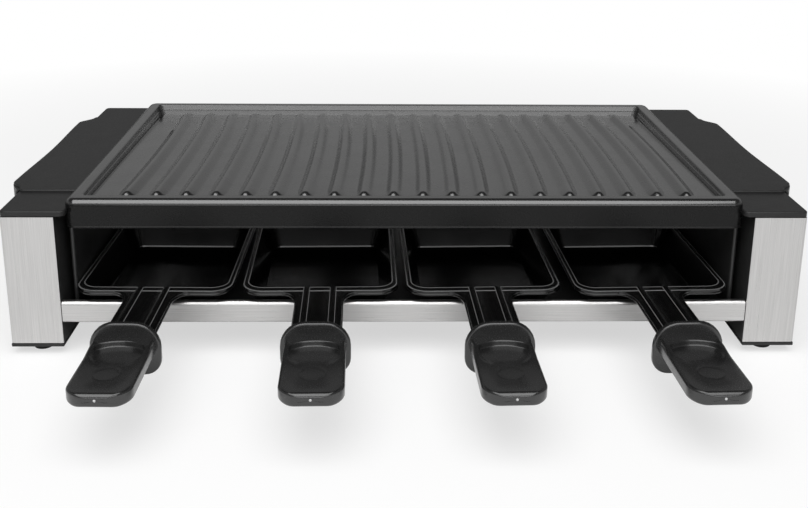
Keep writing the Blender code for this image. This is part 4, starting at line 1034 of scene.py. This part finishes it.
KEPT = {
    "deck": enamel, "thermostat": bright, "thermal_cutout": bakelite, "terminal_block": mica,
    **{f"{word}_housing": housing_plastic for word in ("left", "right")},
    **{f"{word}_base": plastic for word in ("left", "right")},
    **{f"{word}_element_bracket": bright for word in ("left", "right")},
    **{f"element_insulator_{where}": ceramic for where in ("front", "rear")},
    **{f"base_screw_{where}_{word}": bright for where in ("front", "rear") for word in ("left", "right")},
}
for name, look in KEPT.items():
    materials = nodes[name].data.materials
    materials.clear()
    materials.append(look)


# Floor, light and camera

DIFFUSE_LEVEL, GLOSSY_LEVEL = 0.16, 0.29
CAMERA_PLACE = (-15.4, -692.7, 286.1)
CAMERA_DEGREES = (-1.36, 16.23, 0.50)
CAMERA_LENS = 47.29
CAMERA_SHIFT = -0.12


def studio_strength(tree, plain, level):
    """The world's strength: 1 to the camera and to clear rays, and the plain strength to diffuse ones.
    Glossy rays meet a grey: darker at the horizon, at its level a little higher, nearly black overhead."""
    path = tree.nodes.new("ShaderNodeLightPath")
    height = axes_node(tree, tree.nodes.new("ShaderNodeTexCoord").outputs["Generated"])["Z"]
    rising = ramp_node(tree, height, 0.2 * level, level, 0.02, 0.20, "SMOOTHSTEP")
    fading = ramp_node(tree, height, 1.0, 0.12, 0.46, 0.60, "SMOOTHSTEP")
    sky = math_node(tree, "MULTIPLY", rising, fading)
    clear = math_node(tree, "ADD", path.outputs["Is Camera Ray"], path.outputs["Is Transmission Ray"], True)
    gloss = math_node(tree, "MULTIPLY", sky, path.outputs["Is Glossy Ray"])
    diffuse = math_node(tree, "MULTIPLY", path.outputs["Is Diffuse Ray"], plain)
    return math_node(tree, "MAXIMUM", clear, math_node(tree, "ADD", gloss, diffuse))


def make_floor():
    """A plain pale floor. To the camera it is white far out, and its shadows near the grill are lightened;
    the other rays meet the plain floor."""
    mesh = bpy.data.meshes.new("floor")
    reach = 6.0
    corners = [(-reach, -reach, 0), (reach, -reach, 0), (reach, reach, 0), (-reach, reach, 0)]
    mesh.from_pydata(corners, [], [(0, 1, 2, 3)])
    look = Finish("floor_white", (0.93, 0.93, 0.93, 1), 0.9).set("Specular IOR Level", 0.0)
    distance = look.node("ShaderNodeVectorMath", operation="LENGTH")
    look.link(look.place, distance.inputs[0])
    far = look.spread(distance.outputs["Value"], 0.62, 1.0, 0.35, 0.85)
    seen = look.combined("MULTIPLY", far, look.node("ShaderNodeLightPath").outputs["Is Camera Ray"])
    mix = look.node("ShaderNodeMixShader")
    look.link(seen, mix.inputs[0])
    look.link(look.shader.outputs[0], mix.inputs[1])
    look.link(look.node("ShaderNodeEmission").outputs[0], mix.inputs[2])
    look.link(mix.outputs[0], look.tree.nodes["Material Output"].inputs["Surface"])
    mesh.materials.append(look.material)
    floor = linked("floor", mesh)


def posed(name, data, place, right, up, forward):
    """A lamp or camera in the scene at its place, looking forward."""
    made = linked(name, data)
    rows = np.column_stack([right, up, -forward, place])
    made.matrix_world = Matrix([*rows.tolist(), (0, 0, 0, 1)])
    return made


def make_light():
    """A white surround, and soft boxes over the front and low in front."""
    world = bpy.data.worlds.new("studio")
    bpy.context.scene.world = world
    world.use_nodes = True
    background = world.node_tree.nodes["Background"]
    background.inputs["Color"].default_value = (1, 1, 1, 1)
    strength = studio_strength(world.node_tree, DIFFUSE_LEVEL, GLOSSY_LEVEL)
    world.node_tree.links.new(strength, background.inputs["Strength"])
    for name, place, size, watts in (
        ("top_box", (-0.1, -0.71, 1.32), (1.8, 1.5), 25),
        ("front_low_box", (0.1, -1.9, 0.55), (1.8, 0.4), 6),
    ):
        lamp_data = bpy.data.lights.new(name, "AREA")
        lamp_data.shape = "RECTANGLE"
        lamp_data.size, lamp_data.size_y = size
        lamp_data.energy = watts
        forward = unit(np.array((0, 0, 0.05)) - place)
        side = unit(np.cross(forward, (0, 0, 1)))
        posed(name, lamp_data, place, side, np.cross(side, forward), forward)


def make_camera():
    """The photograph's camera, from a least squares fit of the grill's own dimensions. Its place is in
    millimetres. The yaw, the first of the angles, was changed a little after the fit."""
    yaw, pitch, roll = (math.radians(angle) for angle in CAMERA_DEGREES)
    forward = np.array((-math.sin(yaw) * math.cos(pitch), math.cos(yaw) * math.cos(pitch), -math.sin(pitch)))
    level = np.array((math.cos(yaw), math.sin(yaw), 0))
    above = np.cross(level, forward)
    right = math.cos(roll) * level + math.sin(roll) * above
    up = math.cos(roll) * above - math.sin(roll) * level
    data = bpy.data.cameras.new("photo_camera")
    data.lens = CAMERA_LENS
    data.sensor_width = 36
    data.sensor_fit = "HORIZONTAL"
    data.shift_y = CAMERA_SHIFT
    data.clip_start = 0.02
    place = [value * MM for value in CAMERA_PLACE]
    bpy.context.scene.camera = posed("photo_camera", data, place, right, up, forward)


make_floor()
make_light()
make_camera()
bpy.context.scene.view_settings.view_transform = "Standard"
